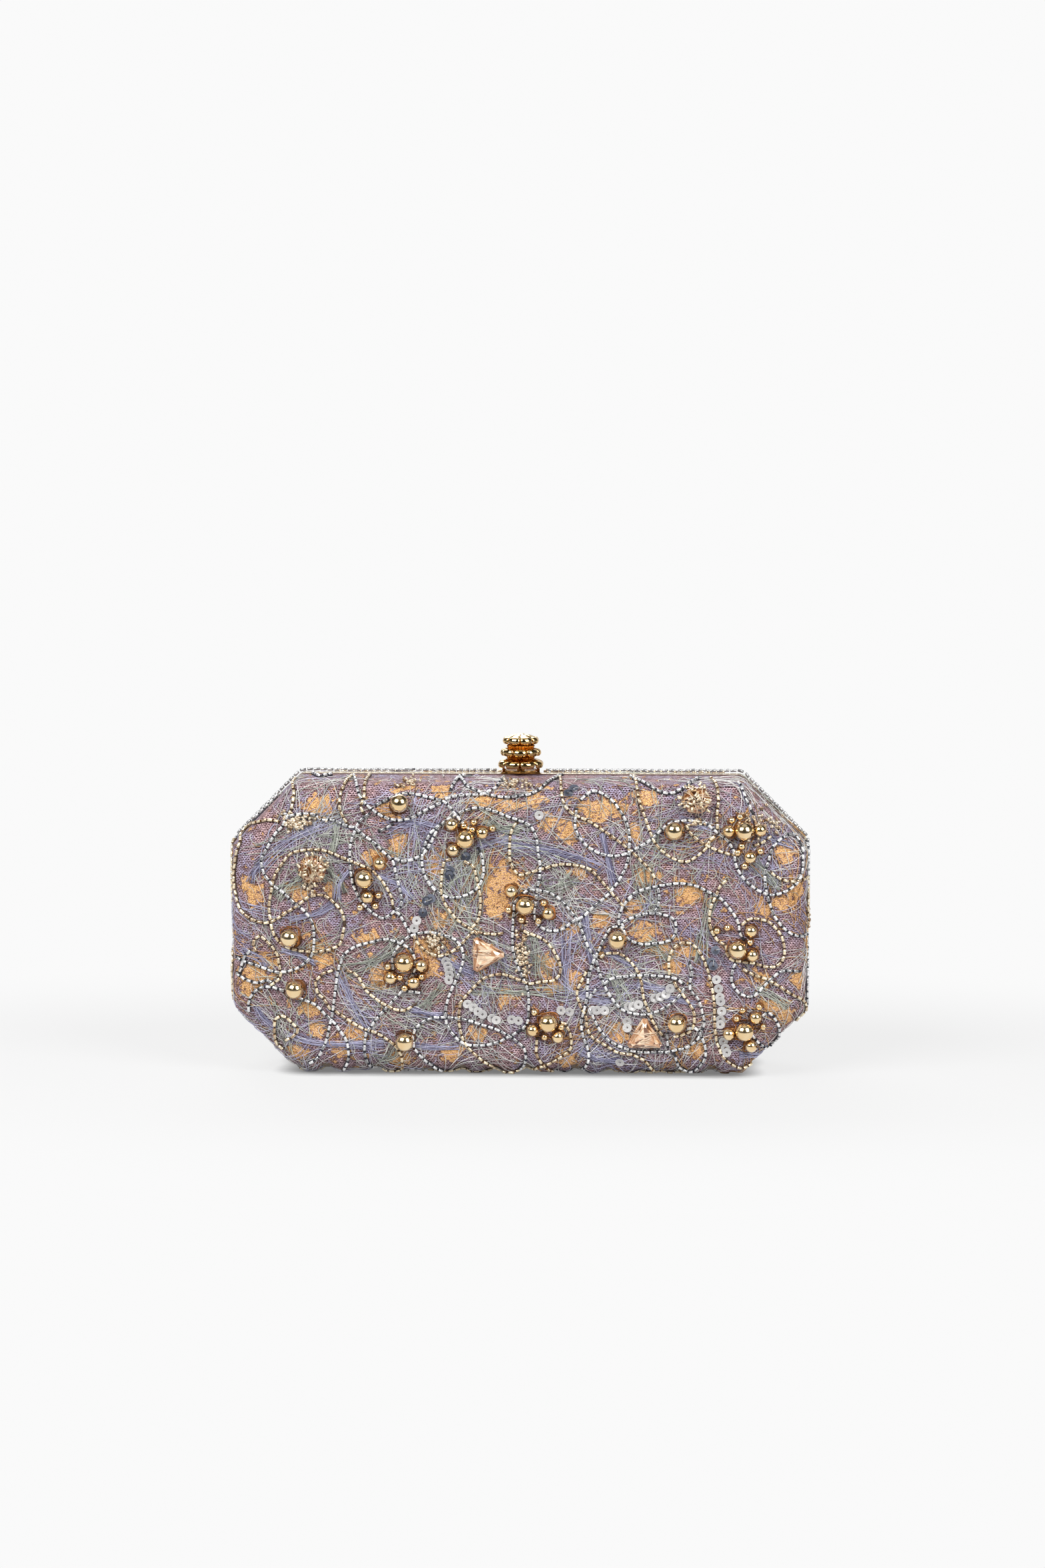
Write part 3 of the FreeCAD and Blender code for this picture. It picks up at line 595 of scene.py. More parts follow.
def outline(half_width, low, high, leg, radius):
    """Points round the rounded octagon, (x, z), the same number for every size."""
    inner = half_width - leg
    corners = [np.array(corner, float) for corner in (
        (half_width, low + leg), (half_width, high - leg), (inner, high), (-inner, high),
        (-half_width, high - leg), (-half_width, low + leg), (-inner, low), (inner, low),
    )]
    half_turn = math.radians(22.5)
    arcs = []
    for before, corner, after in zip(corners[-1:] + corners[:-1], corners, corners[1:] + corners[:1]):
        back, onward = unit(before - corner), unit(after - corner)
        middle = corner + unit(back + onward) * radius / math.cos(half_turn)
        start = corner + back * radius * math.tan(half_turn)
        first = math.atan2(*(start - middle)[::-1])
        turns = first + np.linspace(0, math.radians(45), ARC_STEPS)
        arcs.append(middle + radius * np.stack([np.cos(turns), np.sin(turns)], 1))
    points = []
    kinds = ["side", "cut", "long", "cut"] * 2
    for arc, following, kind in zip(arcs, arcs[1:] + arcs[:1], kinds):
        points.append(arc)
        shares = np.linspace(0, 1, STRAIGHT_STEPS[kind] + 1)[1:-1, None]
        points.append(arc[-1] + (following[0] - arc[-1]) * shares)
    return np.concatenate(points)


def tray_rings(inset, top_drop, floor_lift):
    """Rings of points of a tray surface that lies inset inside the padded outside, from the rim inwards.

    top_drop is how far the top wall has fallen where it leaves the rim, and floor_lift how high the
    bottom wall stands off the floor.
    """
    def ring(depth, side, top, low):
        leg = CHAMFER + (2 - math.sqrt(2)) * (side + top) / 2
        radius = CORNER_RADIUS + 0.25 * max(0.0, depth - WALL_END)
        flat = outline(HALF_WIDTH + side, low, RIM_TOP + top, leg, radius)
        return np.stack([flat[:, 0], np.full(len(flat), -depth), flat[:, 1]], 1)

    rings = []
    for depth in np.linspace(CLOTH_START, WALL_END, 13):
        share = min(1.0, (depth - CLOTH_START) / 3.0)
        side = WALL_BULGE * share
        top = -top_drop - TOP_FALL * (depth - CLOTH_START)
        low = RIM_LOW + (floor_lift - RIM_LOW) * share
        rings.append(ring(depth, side - inset, top - inset, low + inset))
    for turn in np.radians(np.linspace(0, 90, 15))[1:]:
        drop = inset + (EDGE_RADIUS - inset) * (1 - math.cos(turn))
        depth = WALL_END + (EDGE_DEPTH - inset) * math.sin(turn)
        rings.append(ring(depth, side - drop, top - drop, low + drop))
    crown = FACE_DEPTH - WALL_END - EDGE_DEPTH
    for share in np.linspace(0, 1, 15)[1:]:
        inside = EDGE_RADIUS + (CROWN_INSIDE - EDGE_RADIUS) * share
        depth = WALL_END + EDGE_DEPTH - inset + crown * math.sin(share * math.pi / 2)
        rings.append(ring(depth, side - inside, top - inside, low + inside))
    edge = rings[-1]
    middle_z = (edge[:, 2].min() + edge[:, 2].max()) / 2
    reach = edge[:, 0].max() - (edge[:, 2].max() - middle_z)
    spine = np.stack([np.clip(edge[:, 0], -reach, reach), edge[:, 1], np.full(len(edge), middle_z)], 1)
    for share in np.linspace(0, 1, 15)[1:]:
        rings.append(edge + (spine - edge) * share)
    return rings


def ring_faces(count, size):
    """Quads between successive rings of a tray, facing outwards."""
    return [face[:1] + face[:0:-1] for face in band_faces(count, size)]


def ripple(point, size, height):
    """A small smooth unevenness at a point."""
    return height * noise.noise(Vector(point) / size)


def sagged(vert):
    """The height of a cover vert once the lower edge has sagged unevenly, more away from the rim."""
    x, y, z = vert
    share = max(0.0, 1 - z / SAG_HEIGHT) * min(1.0, max(0.0, (-y - SAG_START) / SAG_GROWTH))
    sag = max(-SAG_REACH, ripple((x, 0.0, 0.0), SAG_WAVE, SAG_SWAY))
    return max(0.05, z + share * (sag + SAG_RISE))


def cover_shape():
    """Verts, faces and ring size of the front cover: turned-in edge, walls, rounded edge and crowned face."""
    rings = tray_rings(0.0, TOP_DROP, BOTTOM_LIFT)
    first = rings[0]
    inward = units(MOUTH_MIDDLE - first, 0.0)
    tucked = [first + inward * 1.25, first + inward * 0.25]
    rings[0] = first + (0, -0.12, 0)
    rings = tucked + rings
    verts = np.concatenate(rings)
    for vert in verts[3 * len(first):]:
        vert[1] += ripple(vert, 19.0, 0.28) + ripple(vert, 6.0, 0.1)
        vert[2] = sagged(vert)
    return verts, ring_faces(len(rings), len(first)), len(first)


COVER_VERTS, COVER_FACES, RING_SIZE = cover_shape()
COVER_TREE = BVHTree.FromPolygons([Vector(vert) for vert in COVER_VERTS], COVER_FACES)


def outward(place, normal):
    """The normal turned so that it points out of the front tray."""
    half, y, z = TRAY_CORE
    middle = Vector((max(-half, min(half, place.x)), y, z))
    return normal if normal.dot(place - middle) > 0 else -normal


def on_cover(point):
    """The nearest place on the front cover, and its outward normal."""
    place, normal = COVER_TREE.find_nearest(Vector(point))[:2]
    return place, outward(place, normal)


# ---------------------------------------------------------------- paths over the cloth

def view_ray():
    """The camera's place, in millimetres, and the direction from its aim back to it."""
    elevation, azimuth = math.radians(VIEW_ELEVATION), math.radians(VIEW_AZIMUTH)
    level = math.cos(elevation)
    back = Vector((math.sin(azimuth) * level, -math.cos(azimuth) * level, math.sin(elevation)))
    return Vector(VIEW_AIM) + back * VIEW_DISTANCE, back


EYE, BACK = view_ray()


def seen(x, z):
    """The place on the front cover behind (x, z) of the reading plane, or the nearest one to that line."""
    target = Vector((x, READING_PLANE, z))
    along = (target - EYE).normalized()
    hit = COVER_TREE.ray_cast(EYE, along)
    if hit[0] is not None:
        return hit[0]
    tries = [COVER_TREE.find_nearest(target + along * step) for step in range(0, 24, 2)]
    return min(tries, key=lambda found: found[3])[0]


def height_for(z, hand):
    """A height of a half's layout: the rear's is the front's, turned upside down."""
    return z if hand < 0 else RIM_TOP - z


def face_spot(x, z, hand):
    """The place on the front cover for (x, z) of a half's layout."""
    place = seen(x, z)
    return Vector((place[0], place[1], height_for(place[2], hand)))


def face_line(line, hand):
    """The places on the front cover for a line of a half's layout."""
    return [face_spot(x, z, hand) for x, z in line]


def seeded(seed, hand):
    """A random source with its own seed on each half."""
    return random.Random(seed if hand < 0 else seed + 1)


def strayed(rng, x, y, z):
    """A random offset with these spreads along the axes."""
    return Vector((rng.gauss(0, x), rng.gauss(0, y), rng.gauss(0, z)))


def curve_through(points, step):
    """A Catmull-Rom curve through 3-D points, sampled about once a step."""
    points = [np.array(point, float) for point in points]
    ends = [2 * points[0] - points[1]] + points + [2 * points[-1] - points[-2]]
    samples = [points[0]]
    for a, b, c, d in zip(ends, ends[1:], ends[2:], ends[3:]):
        count = max(1, round(np.linalg.norm(c - b) / step))
        for part in range(1, count + 1):
            t = part / count
            samples.append(0.5 * (2 * b + (c - a) * t + (2 * a - 5 * b + 4 * c - d) * t * t
                                  + (3 * b - a - 3 * c + d) * t ** 3))
    return samples


def laid(points, step=0.6):
    """A smooth path on the cover through 3-D points: places and normals."""
    places, normals = zip(*(on_cover(sample) for sample in curve_through(points, step)))
    return np.array(places), np.array(normals)


def run_lengths(places):
    """The length along a path up to each of its places."""
    return np.concatenate([[0], np.cumsum(np.linalg.norm(np.diff(places, axis=0), axis=1))])


def stations(places, normals, pitch, start):
    """Places, directions and normals at even distances along a path."""
    lengths = run_lengths(places)
    at = np.arange(start, lengths[-1] - start * 0.5, pitch)

    def read(rows, where):
        return np.stack([np.interp(where, lengths, column) for column in rows.T], 1)

    return read(places, at), read(places, at + 0.5) - read(places, at - 0.5), read(normals, at)


def frame_at(along, normal):
    """A turn that takes Z to along and X to the normal."""
    along = along / (np.linalg.norm(along) + 1e-9)
    normal = normal - along * np.dot(normal, along)
    normal = normal / (np.linalg.norm(normal) + 1e-9)
    return np.stack([normal, np.cross(along, normal), along], 1)


def clear_of_fittings(place):
    """False along the hinges, where nothing may stick out, and round the clasp."""
    x, y, z = place
    at_hinge = z < HINGE_TOP and y > HINGE_FRONT
    at_clasp = z > CLASP_BOTTOM and y > CLASP_FRONT and abs(x) < CLASP_HALF
    return not (at_hinge or at_clasp)


# ---------------------------------------------------------------- materials

def tone(red, green, blue):
    """A display colour, 0 to 255, as the linear colour a shader takes."""
    def linear(value):
        value /= 255
        return value / 12.92 if value <= 0.04045 else ((value + 0.055) / 1.055) ** 2.4
    return (linear(red), linear(green), linear(blue), 1.0)


def add_node(tree, kind, sockets=None, **settings):
    """Adds a shader node; sockets are numbers, colours or other nodes' outputs."""
    made = tree.nodes.new("ShaderNode" + kind)
    for key, value in settings.items():
        setattr(made, key, value)
    for key, value in (sockets or {}).items():
        if isinstance(value, bpy.types.NodeSocket):
            tree.links.new(value, made.inputs[key])
        else:
            made.inputs[key].default_value = value
    return made


class Finish:
    """A material with one Principled shader, and the nodes that drive it."""

    def __init__(self, name, **constants):
        self.material = bpy.data.materials.new(name)
        self.material.use_nodes = True
        self.tree = self.material.node_tree
        self.tree.nodes.clear()
        self.output = self.node("OutputMaterial")
        self.shader = self.node("BsdfPrincipled")
        self.tree.links.new(self.shader.outputs[0], self.output.inputs["Surface"])
        for socket, value in constants.items():
            self.shader.inputs[socket.replace("_", " ")].default_value = value
        place = self.node("TexCoord").outputs["Object"]
        self.place = self.vector("SCALE", place, 1 / MM)

    def node(self, kind, sockets=None, **settings):
        """Adds a node to the material."""
        return add_node(self.tree, kind, sockets, **settings)

    def vector(self, operation, a, b):
        """One step of vector arithmetic."""
        second = "Scale" if operation == "SCALE" else 1
        return self.node("VectorMath", {0: a, second: b}, operation=operation).outputs[0]

    def set(self, socket, value):
        """Drives one input of the shader."""
        self.tree.links.new(value, self.shader.inputs[socket])

    def speckle(self, size, detail=2.0, stretch=None):
        """Noise from 0 to 1 with features of about size millimetres."""
        place = self.vector("MULTIPLY", self.place, stretch) if stretch else self.place
        made = self.node("TexNoise", {"Vector": place, "Scale": 1 / size, "Detail": detail, "Roughness": 0.6})
        return made.outputs["Fac"]

    def attribute(self, name):
        """A number stored on the mesh."""
        return self.node("Attribute", attribute_name=name).outputs["Fac"]

    def math(self, operation, a, b=0.0):
        """One arithmetic step, clamped to 0 to 1."""
        return self.node("Math", {0: a, 1: b}, operation=operation, use_clamp=True).outputs[0]

    def between(self, value, low, high):
        """value taken smoothly from low..high to 0..1."""
        made = self.node("MapRange", {"Value": value, "From Min": low, "From Max": high},
                         interpolation_type="SMOOTHSTEP")
        return made.outputs[0]

    def mix(self, share, a, b):
        """Colour a where share is 0 and b where it is 1; a plain colour is a display colour."""
        made = self.node("Mix", {"Factor": share}, data_type="RGBA")
        for key, value in (("A", a), ("B", b)):
            socket = [s for s in made.inputs if s.name == key and s.type == "RGBA"][0]
            if isinstance(value, bpy.types.NodeSocket):
                self.tree.links.new(value, socket)
            else:
                socket.default_value = tone(*value)
        return [s for s in made.outputs if s.type == "RGBA"][0]

    def scale_to(self, value, low, high):
        """value 0..1 taken to low..high."""
        return self.node("MapRange", {"Value": value, "To Min": low, "To Max": high}).outputs[0]

    def bump(self, height, depth):
        """Surface relief; depth is in millimetres for a height of 0 to 1."""
        made = self.node("Bump", {"Height": height, "Distance": depth * MM, "Strength": 1.0})
        self.set("Normal", made.outputs[0])


def net_finish():
    """Fine mauve net over a dark maroon backing, with foil glimpses ringed by painted shade and a cast of the
    threads' colours.
    """
    f = Finish("net_cloth", Roughness=0.75, Specular_IOR_Level=0.3)
    laid_out = f.node("UVMap", uv_map="net").outputs[0]
    for scale, detail, reach in ((0.45, 1.0, 0.9), (1.1, 2.0, 0.55)):
        waver = f.node("TexNoise", {"Vector": f.place, "Scale": scale, "Detail": detail}).outputs["Color"]
        laid_out = f.vector("ADD", laid_out, f.vector("SCALE", waver, reach))
    strand = f.node("TexBrick", {
        "Vector": laid_out, "Scale": 1.0, "Mortar Size": 0.155, "Mortar Smooth": 0.6,
        "Brick Width": 0.95, "Row Height": 0.57,
    }, offset=0.5).outputs["Fac"]
    broad = f.speckle(11.0)
    fine = f.speckle(1.3, 3.0)
    grain = f.speckle(0.28, 2.0)
    yarn = f.mix(f.between(broad, 0.38, 0.62), (212, 176, 178), (188, 176, 202))
    yarn = f.mix(f.between(fine, 0.38, 0.68), yarn, (122, 98, 98))
    backing = f.mix(f.between(fine, 0.3, 0.7), (36, 18, 24), (78, 48, 54))
    ragged = f.scale_to(f.speckle(2.2, 5.0), -1.1, 1.1)
    spot = f.node("Math", {0: f.attribute("foil"), 1: ragged}, operation="ADD").outputs[0]
    fleck = f.speckle(3.2, 4.0)
    # painted shade: a dark brown ring round each foil spot and fleck, where the net and threads shadow the
    # foil's edge
    foil_edge_painted_shade = f.math("MAXIMUM", f.between(spot, 0.24, 0.4), f.between(fleck, 0.585, 0.62))
    spot = f.math("MAXIMUM", f.between(spot, 0.42, 0.48), f.between(fleck, 0.63, 0.66))
    foil = f.mix(f.between(grain, 0.36, 0.58), (120, 66, 24), (255, 206, 132))
    foil = f.mix(f.between(f.speckle(0.7, 2.0), 0.54, 0.7), foil, (128, 78, 38))
    colour = f.mix(strand, backing, yarn)
    gilded = f.mix(f.math("MULTIPLY", strand, 0.32), foil, yarn)
    colour = f.mix(f.math("MULTIPLY", foil_edge_painted_shade, 0.75), colour, (84, 50, 30))
    colour = f.mix(f.math("MULTIPLY", spot, 0.95), colour, gilded)
    f.set("Base Color", colour)
    f.set("Metallic", f.math("MULTIPLY", spot, 0.35))
    f.bump(f.math("ADD", strand, f.math("MULTIPLY", grain, 0.25)), 0.12)
    return f.material


def thread_finish(name, dark, light, metallic=0.0):
    """Twisted thread; the tint of each thread takes it from dark to light."""
    f = Finish(name, Roughness=0.5, Metallic=metallic, Sheen_Weight=0.08, Sheen_Roughness=0.3)
    colour = f.mix(f.attribute("tint"), dark, light)
    twist = f.speckle(0.16, 1.0)
    colour = f.mix(f.math("MULTIPLY", twist, 0.45), colour, dark)
    f.set("Base Color", colour)
    f.bump(twist, 0.03)
    return f.material


def glass_finish(name, dark, light, rough=0.08, metallic=0.85):
    """Metal-lined glass; the tint of each bead takes it from dark to light."""
    f = Finish(name, Metallic=metallic, Coat_Weight=0.5, Coat_Roughness=0.04)
    cloud = f.speckle(0.5, 2.0)
    colour = f.mix(f.attribute("tint"), dark, light)
    f.set("Base Color", f.mix(f.math("MULTIPLY", cloud, 0.18), colour, dark))
    f.set("Roughness", f.scale_to(cloud, rough * 0.7, rough * 1.8))
    return f.material


def metal_finish(name, colour, worn, rough=0.12, grain=0.6, stretch=None, relief=0.004, coat=0.0):
    """Plated metal with faint handling marks; worn is its colour where it is rubbed."""
    f = Finish(name, Metallic=1.0, Coat_Weight=coat, Coat_Roughness=0.04)
    marks = f.speckle(grain, 4.0, stretch)
    broad = f.speckle(7.0, 2.0)
    f.set("Base Color", f.mix(f.between(broad, 0.4, 0.75), colour, worn))
    f.set("Roughness", f.scale_to(marks, rough * 0.6, rough * 1.7))
    f.bump(marks, relief)
    return f.material


def crystal_finish(name, dark, middle, light):
    """Foil-backed cut stone; each facet's tint picks its colour, painting the light and dark reflections of
    the facets.
    """
    f = Finish(name, Metallic=0.35, Roughness=0.06, Coat_Weight=1.0, Coat_Roughness=0.02, IOR=1.7)
    tint = f.attribute("tint")
    # the painted reflections drift a little across each facet
    streak = f.speckle(1.6, 2.0)
    tint = f.math("ADD", tint, f.scale_to(streak, -0.18, 0.18))
    low = f.mix(f.between(tint, 0.0, 0.5), dark, middle)
    f.set("Base Color", f.mix(f.between(tint, 0.5, 1.0), low, light))
    return f.material


def satin_finish(name, dark, light):
    """Woven satin, with a soft lengthwise sheen painted into its colour along the weave."""
    f = Finish(name, Roughness=0.42, Sheen_Weight=0.35, Sheen_Roughness=0.35, Specular_IOR_Level=0.6)
    waves = [
        f.node("TexWave", {"Vector": f.place, "Scale": scale, "Distortion": distortion, "Detail": detail},
               wave_type="BANDS", bands_direction=axis).outputs["Fac"]
        for axis, scale, distortion, detail in (("Z", 2.2, 1.2, 2.0), ("X", 2.6, 0.8, 1.0))
    ]
    both = f.math("MULTIPLY", *waves)
    # painted sheen: the weave's bands, under broad noise, lighten the base colour
    weave_and_painted_sheen = f.math("MULTIPLY", both, f.scale_to(f.speckle(14.0), 0.6, 1.0))
    f.set("Base Color", f.mix(f.between(weave_and_painted_sheen, 0.1, 0.8), dark, light))
    f.bump(both, 0.02)
    return f.material


def board_finish(name, dark, light):
    """Pressed fibre board."""
    f = Finish(name, Roughness=0.8)
    fibre = f.speckle(0.5, 5.0, (1.0, 1.0, 3.0))
    f.set("Base Color", f.mix(f.between(fibre, 0.3, 0.7), dark, light))
    f.bump(fibre, 0.05)
    return f.material


NET = net_finish()
THREADS = {
    "silver": thread_finish("thread_silver", (92, 88, 92), (252, 250, 246), 0.1),
    "sage": thread_finish("thread_sage", (86, 92, 84), (226, 230, 216)),
    "lavender": thread_finish("thread_lavender", (90, 88, 122), (218, 216, 240)),
    "gilt": thread_finish("thread_gilt", (128, 84, 44), (240, 190, 122), 0.3),
}
NEST_THREAD = thread_finish("nest_thread", (74, 38, 14), (218, 142, 66), 0.3)
SILVER_GLASS = glass_finish("bugle_silver", (40, 42, 52), (255, 255, 255), 0.14, 0.55)
# couching thread for the silver strands, made dark and wide so it also paints the shade along and between the
# bugles
COUCHING_GREY_AND_PAINTED_SHADE = thread_finish("couching_grey_and_painted_shade", (22, 22, 28), (60, 58, 66))
# painted shade: the dark tube in the gap between a rim and the cloth
RIM_GAP_PAINTED_SHADE = thread_finish("edge_rim_gap_painted_shade_tube", (52, 26, 22), (98, 58, 48))
# the same for the gold strands: couching thread that also paints the shade along the bugles
COUCHING_BROWN_AND_PAINTED_SHADE = thread_finish("couching_brown_and_painted_shade", (44, 28, 16), (96, 66, 38))
# the silver bugles' bore, ends and chamfers: partly the bore's own dark, partly painted shade for the dark
# gaps between bugles
SILVER_BORE_AND_GAP_SHADE = glass_finish("bugle_silver_bore_and_painted_gap_shade", (26, 28, 38), (62, 64, 78), 0.3, 0.4)
GOLD_GLASS = glass_finish("bugle_gold", (120, 74, 34), (255, 242, 208), 0.14, 0.5)
# the gold bugles' bore, ends and chamfers: partly the bore's own dark, partly painted shade for the gaps
# between bugles
GOLD_BORE_AND_GAP_SHADE = glass_finish("bugle_gold_bore_and_painted_gap_shade", (62, 38, 14), (140, 96, 44), 0.3, 0.4)
SEED_GLASS = glass_finish("seed_clear", (132, 100, 66), (232, 218, 194), 0.1, 0.5)
SEQUIN_CLEAR = glass_finish("sequin_clear", (156, 154, 154), (202, 200, 198), 0.3, 0.1)
SEQUIN_RIM = glass_finish("sequin_rim", (186, 184, 184), (222, 220, 218), 0.25, 0.2)
# painted shade: the wall of a sequin's hole is painted dark for the shade inside it
SEQUIN_HOLE_PAINTED_SHADE = glass_finish("sequin_hole_painted_shade", (40, 36, 40), (78, 70, 74), 0.4, 0.2)
SEQUIN_DARK = glass_finish("sequin_dark", (66, 70, 84), (128, 134, 150), 0.16, 0.7)
BEAD_GOLD = metal_finish("bead_gold_plate", (240, 206, 152), (248, 226, 184), 0.15, 0.8, coat=1.0)
BEAD_BORE = metal_finish("bead_bore_shade", (58, 34, 14), (92, 56, 22), 0.5)
KNOB_GOLD = metal_finish("knob_polish", (206, 170, 112), (220, 188, 134), 0.04, 1.5, None, 0.002)
KNOB_GRAIN = metal_finish("knob_grain", (142, 80, 24), (228, 156, 62), 0.26, 0.4, None, 0.16)
RIM_GOLD = metal_finish("rim_plate", (246, 232, 200), (250, 238, 212), 0.2, 0.5, (0.08, 1.0, 1.0))
HINGE_GOLD = metal_finish("hinge_plate", (214, 184, 128), (232, 208, 160), 0.22, 0.4)
CLASP_GOLD = metal_finish("clasp_plate", (228, 174, 98), (240, 202, 140), 0.12, 0.5)
STEEL = metal_finish("spring_steel_blued", (138, 138, 142), (176, 174, 172), 0.25, 0.3, (0.2, 1.0, 1.0))
# stone colours, dark to light: the facets' painted reflections pick among them
AMBER = crystal_finish("crystal_amber", (48, 24, 12), (146, 88, 48), (238, 200, 150))
PEACH = crystal_finish("crystal_peach", (104, 62, 38), (206, 154, 114), (248, 218, 186))
STONE_WIRE = thread_finish("crystal_wire", (150, 108, 72), (250, 234, 210), 0.2)
SATIN = satin_finish("lining_satin", (108, 92, 98), (176, 156, 160))
BOARD = board_finish("pressed_board", (96, 84, 74), (136, 120, 104))


# ---------------------------------------------------------------- cover cloth

def foil_at(vert):
    """How far a cover vert lies inside a foil spot: 1 in its middle, less outwards and on the walls."""
    x, y, z = vert
    best = 0.0
    for spot_x, spot_z, width, height in FOIL_SPOTS:
        reach_x, reach_z = FOIL_SHARE * width + FOIL_FRINGE, FOIL_SHARE * height + FOIL_FRINGE
        away = math.hypot((x - spot_x) / reach_x, (z - spot_z) / reach_z)
        best = max(best, 1.0 - 0.5 * away)
    return best - max(0.0, 1.0 + (y + WALL_END) / FOIL_FADE)


def net_layout(verts, faces, size):
    """Where each face corner lies on the net, in millimetres: unrolled on the walls, flat on the face."""
    along = run_lengths(verts[3 * size:4 * size])
    along = np.append(along, along[-1] + 1.0)
    layout = []
    for face in faces:
        on_wall = -verts[face, 1].mean() < WALL_END + NET_TURN
        closing = max(corner % size for corner in face) == size - 1
        for corner in face:
            spot = corner % size
            if closing and spot == 0:
                spot = size
            layout.append((along[spot], -verts[corner, 1]) if on_wall else verts[corner, ::2])
    return np.array(layout, np.float32)


def build_cover(name, body, hand):
    """The net cover of one half, in place of the CAD cover and its padding."""
    verts, faces = for_side(COVER_VERTS, COVER_FACES, hand)
    piece = make_piece(name + "_cloth", verts, faces, [NET], body)
    layout = net_layout(COVER_VERTS, COVER_FACES, RING_SIZE)
    if hand > 0:
        layout = layout.reshape(-1, 4, 2)[:, ::-1].reshape(-1, 2)
    piece.data.uv_layers.new(name="net").data.foreach_set("uv", layout.ravel())
    foil = piece.data.attributes.new("foil", "FLOAT", "POINT")
    turned = COVER_VERTS if hand < 0 else COVER_VERTS * (1, 1, -1) + (0, 0, RIM_TOP)
    foil.data.foreach_set("value", np.array([foil_at(vert) for vert in turned], np.float32))
    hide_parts(name + "_cover", name + "_padding")


# ---------------------------------------------------------------- bugle strands

BUGLE_HALF = [
    (0, BUGLE_LENGTH / 2 - 0.3), (BUGLE_HOLE, BUGLE_LENGTH / 2), (0.8 * BUGLE_RADIUS, BUGLE_LENGTH / 2),
    (BUGLE_RADIUS, BUGLE_LENGTH / 2 - 0.12),
]
BUGLE = turned_template([(radius, -z) for radius, z in BUGLE_HALF] + BUGLE_HALF[::-1], 8)
# the side takes the glass; the bore, ends and chamfers take the dark finish, partly the bore's own dark,
# partly painted shade in the gaps between bugles
BUGLE_SLOTS = [0 if band == 3 else 1 for band in BUGLE[2]]
BUGLE_SMOOTH = [band in (2, 3, 4) for band in BUGLE[2]]
BUGLE_PAINTED_REFLECTION_LINE = (BUGLE[0][:, 0] > 0.96 * BUGLE_RADIUS).astype(float)   # 1 along the line that faces out, where some bugles get a dark painted reflection


def wall_point(share, depth):
    """A point on the outside wall, at a share of the way round and a depth from the parting plane."""
    high = RIM_TOP - TOP_DROP - TOP_FALL * (depth - CLOTH_START)
    flat = outline(HALF_WIDTH + WALL_BULGE, BOTTOM_LIFT, high, CHAMFER, CORNER_RADIUS)
    x, z = flat[int(share % 1.0 * len(flat))]
    return Vector((x, -depth, z))


def wall_strand(start, end, depth, sway, waves, phase):
    """A wavering strand along the wall, from one share of the way round to another."""
    count = max(6, round(abs(end - start) * 90))
    points = []
    for step in range(count + 1):
        share = start + (end - start) * step / count
        points.append(wall_point(share, depth + sway * math.sin(2 * math.pi * waves * share + phase)))
    return points


def side_loops(rng, count):
    """Loose loops on the side and cut walls, where the view from the side shows them."""
    loops = []
    for _ in range(count):
        share = rng.choice([rng.uniform(0.0, 0.1), rng.uniform(0.5, 0.66)])
        middle = wall_point(share, rng.uniform(7.0, 13.0))
        beside = wall_point(share + 0.004, -middle.y) - middle
        beside.normalize()
        size = rng.uniform(3.5, 6.5)
        turn = rng.uniform(0, 6.28)
        points = []
        for step in range(11):
            angle = turn + 2 * math.pi * step / 11 * 0.85
            spread = beside * math.cos(angle) * size * 1.4 + Vector((0, math.sin(angle) * size * 0.75, 0))
            points.append(middle + spread)
        loops.append(points)
    return loops


# Strands on the walls: where they start and end round the wall (1 is all the way), depth and phase.
WALL_STRANDS = ((0.0, 0.1, 8.0, 0.4), (0.5, 0.61, 8.0, 1.4), (0.68, 0.93, 11.0, 0.0))
# The rear's two strands along the top wall, the second just behind the rim.
REAR_TOP_STRAND = (0.19, 0.42, 10.5, 2.2, 9, 0.0)
REAR_RIM_ROW = (0.075, 0.53, 4.4, 0.3, 14, 0.0)
LOOPS_OF_A_KIND = 5


def strand_paths(hand):
    """The paths of one half's strands on its face and walls, as {kind: [(places, normals)]}."""
    rng = seeded(11, hand)
    paths = {kind: [face_line(strand, hand) for strand in strands]
             for kind, strands in (("silver", SILVER_STRANDS), ("gold", GOLD_STRANDS))}
    for start, end, depth, phase in WALL_STRANDS:
        paths["silver"].append(wall_strand(start, end, depth, 3.0, 11, phase))
        paths["gold"].append(wall_strand(start, end, depth + 1.0, 3.4, 9, phase + 1.7))
    for kind in ("gold", "silver"):
        paths[kind].extend(side_loops(rng, LOOPS_OF_A_KIND))
    if hand > 0:
        paths["gold"].append(wall_strand(*REAR_TOP_STRAND))
    paths = {kind: [laid(line) for line in lines] for kind, lines in paths.items()}
    if hand > 0:
        places, normals = laid(wall_strand(*REAR_RIM_ROW))
        paths["silver"].append((places + normals * RIM_ROW_LIFT, normals))
    return paths


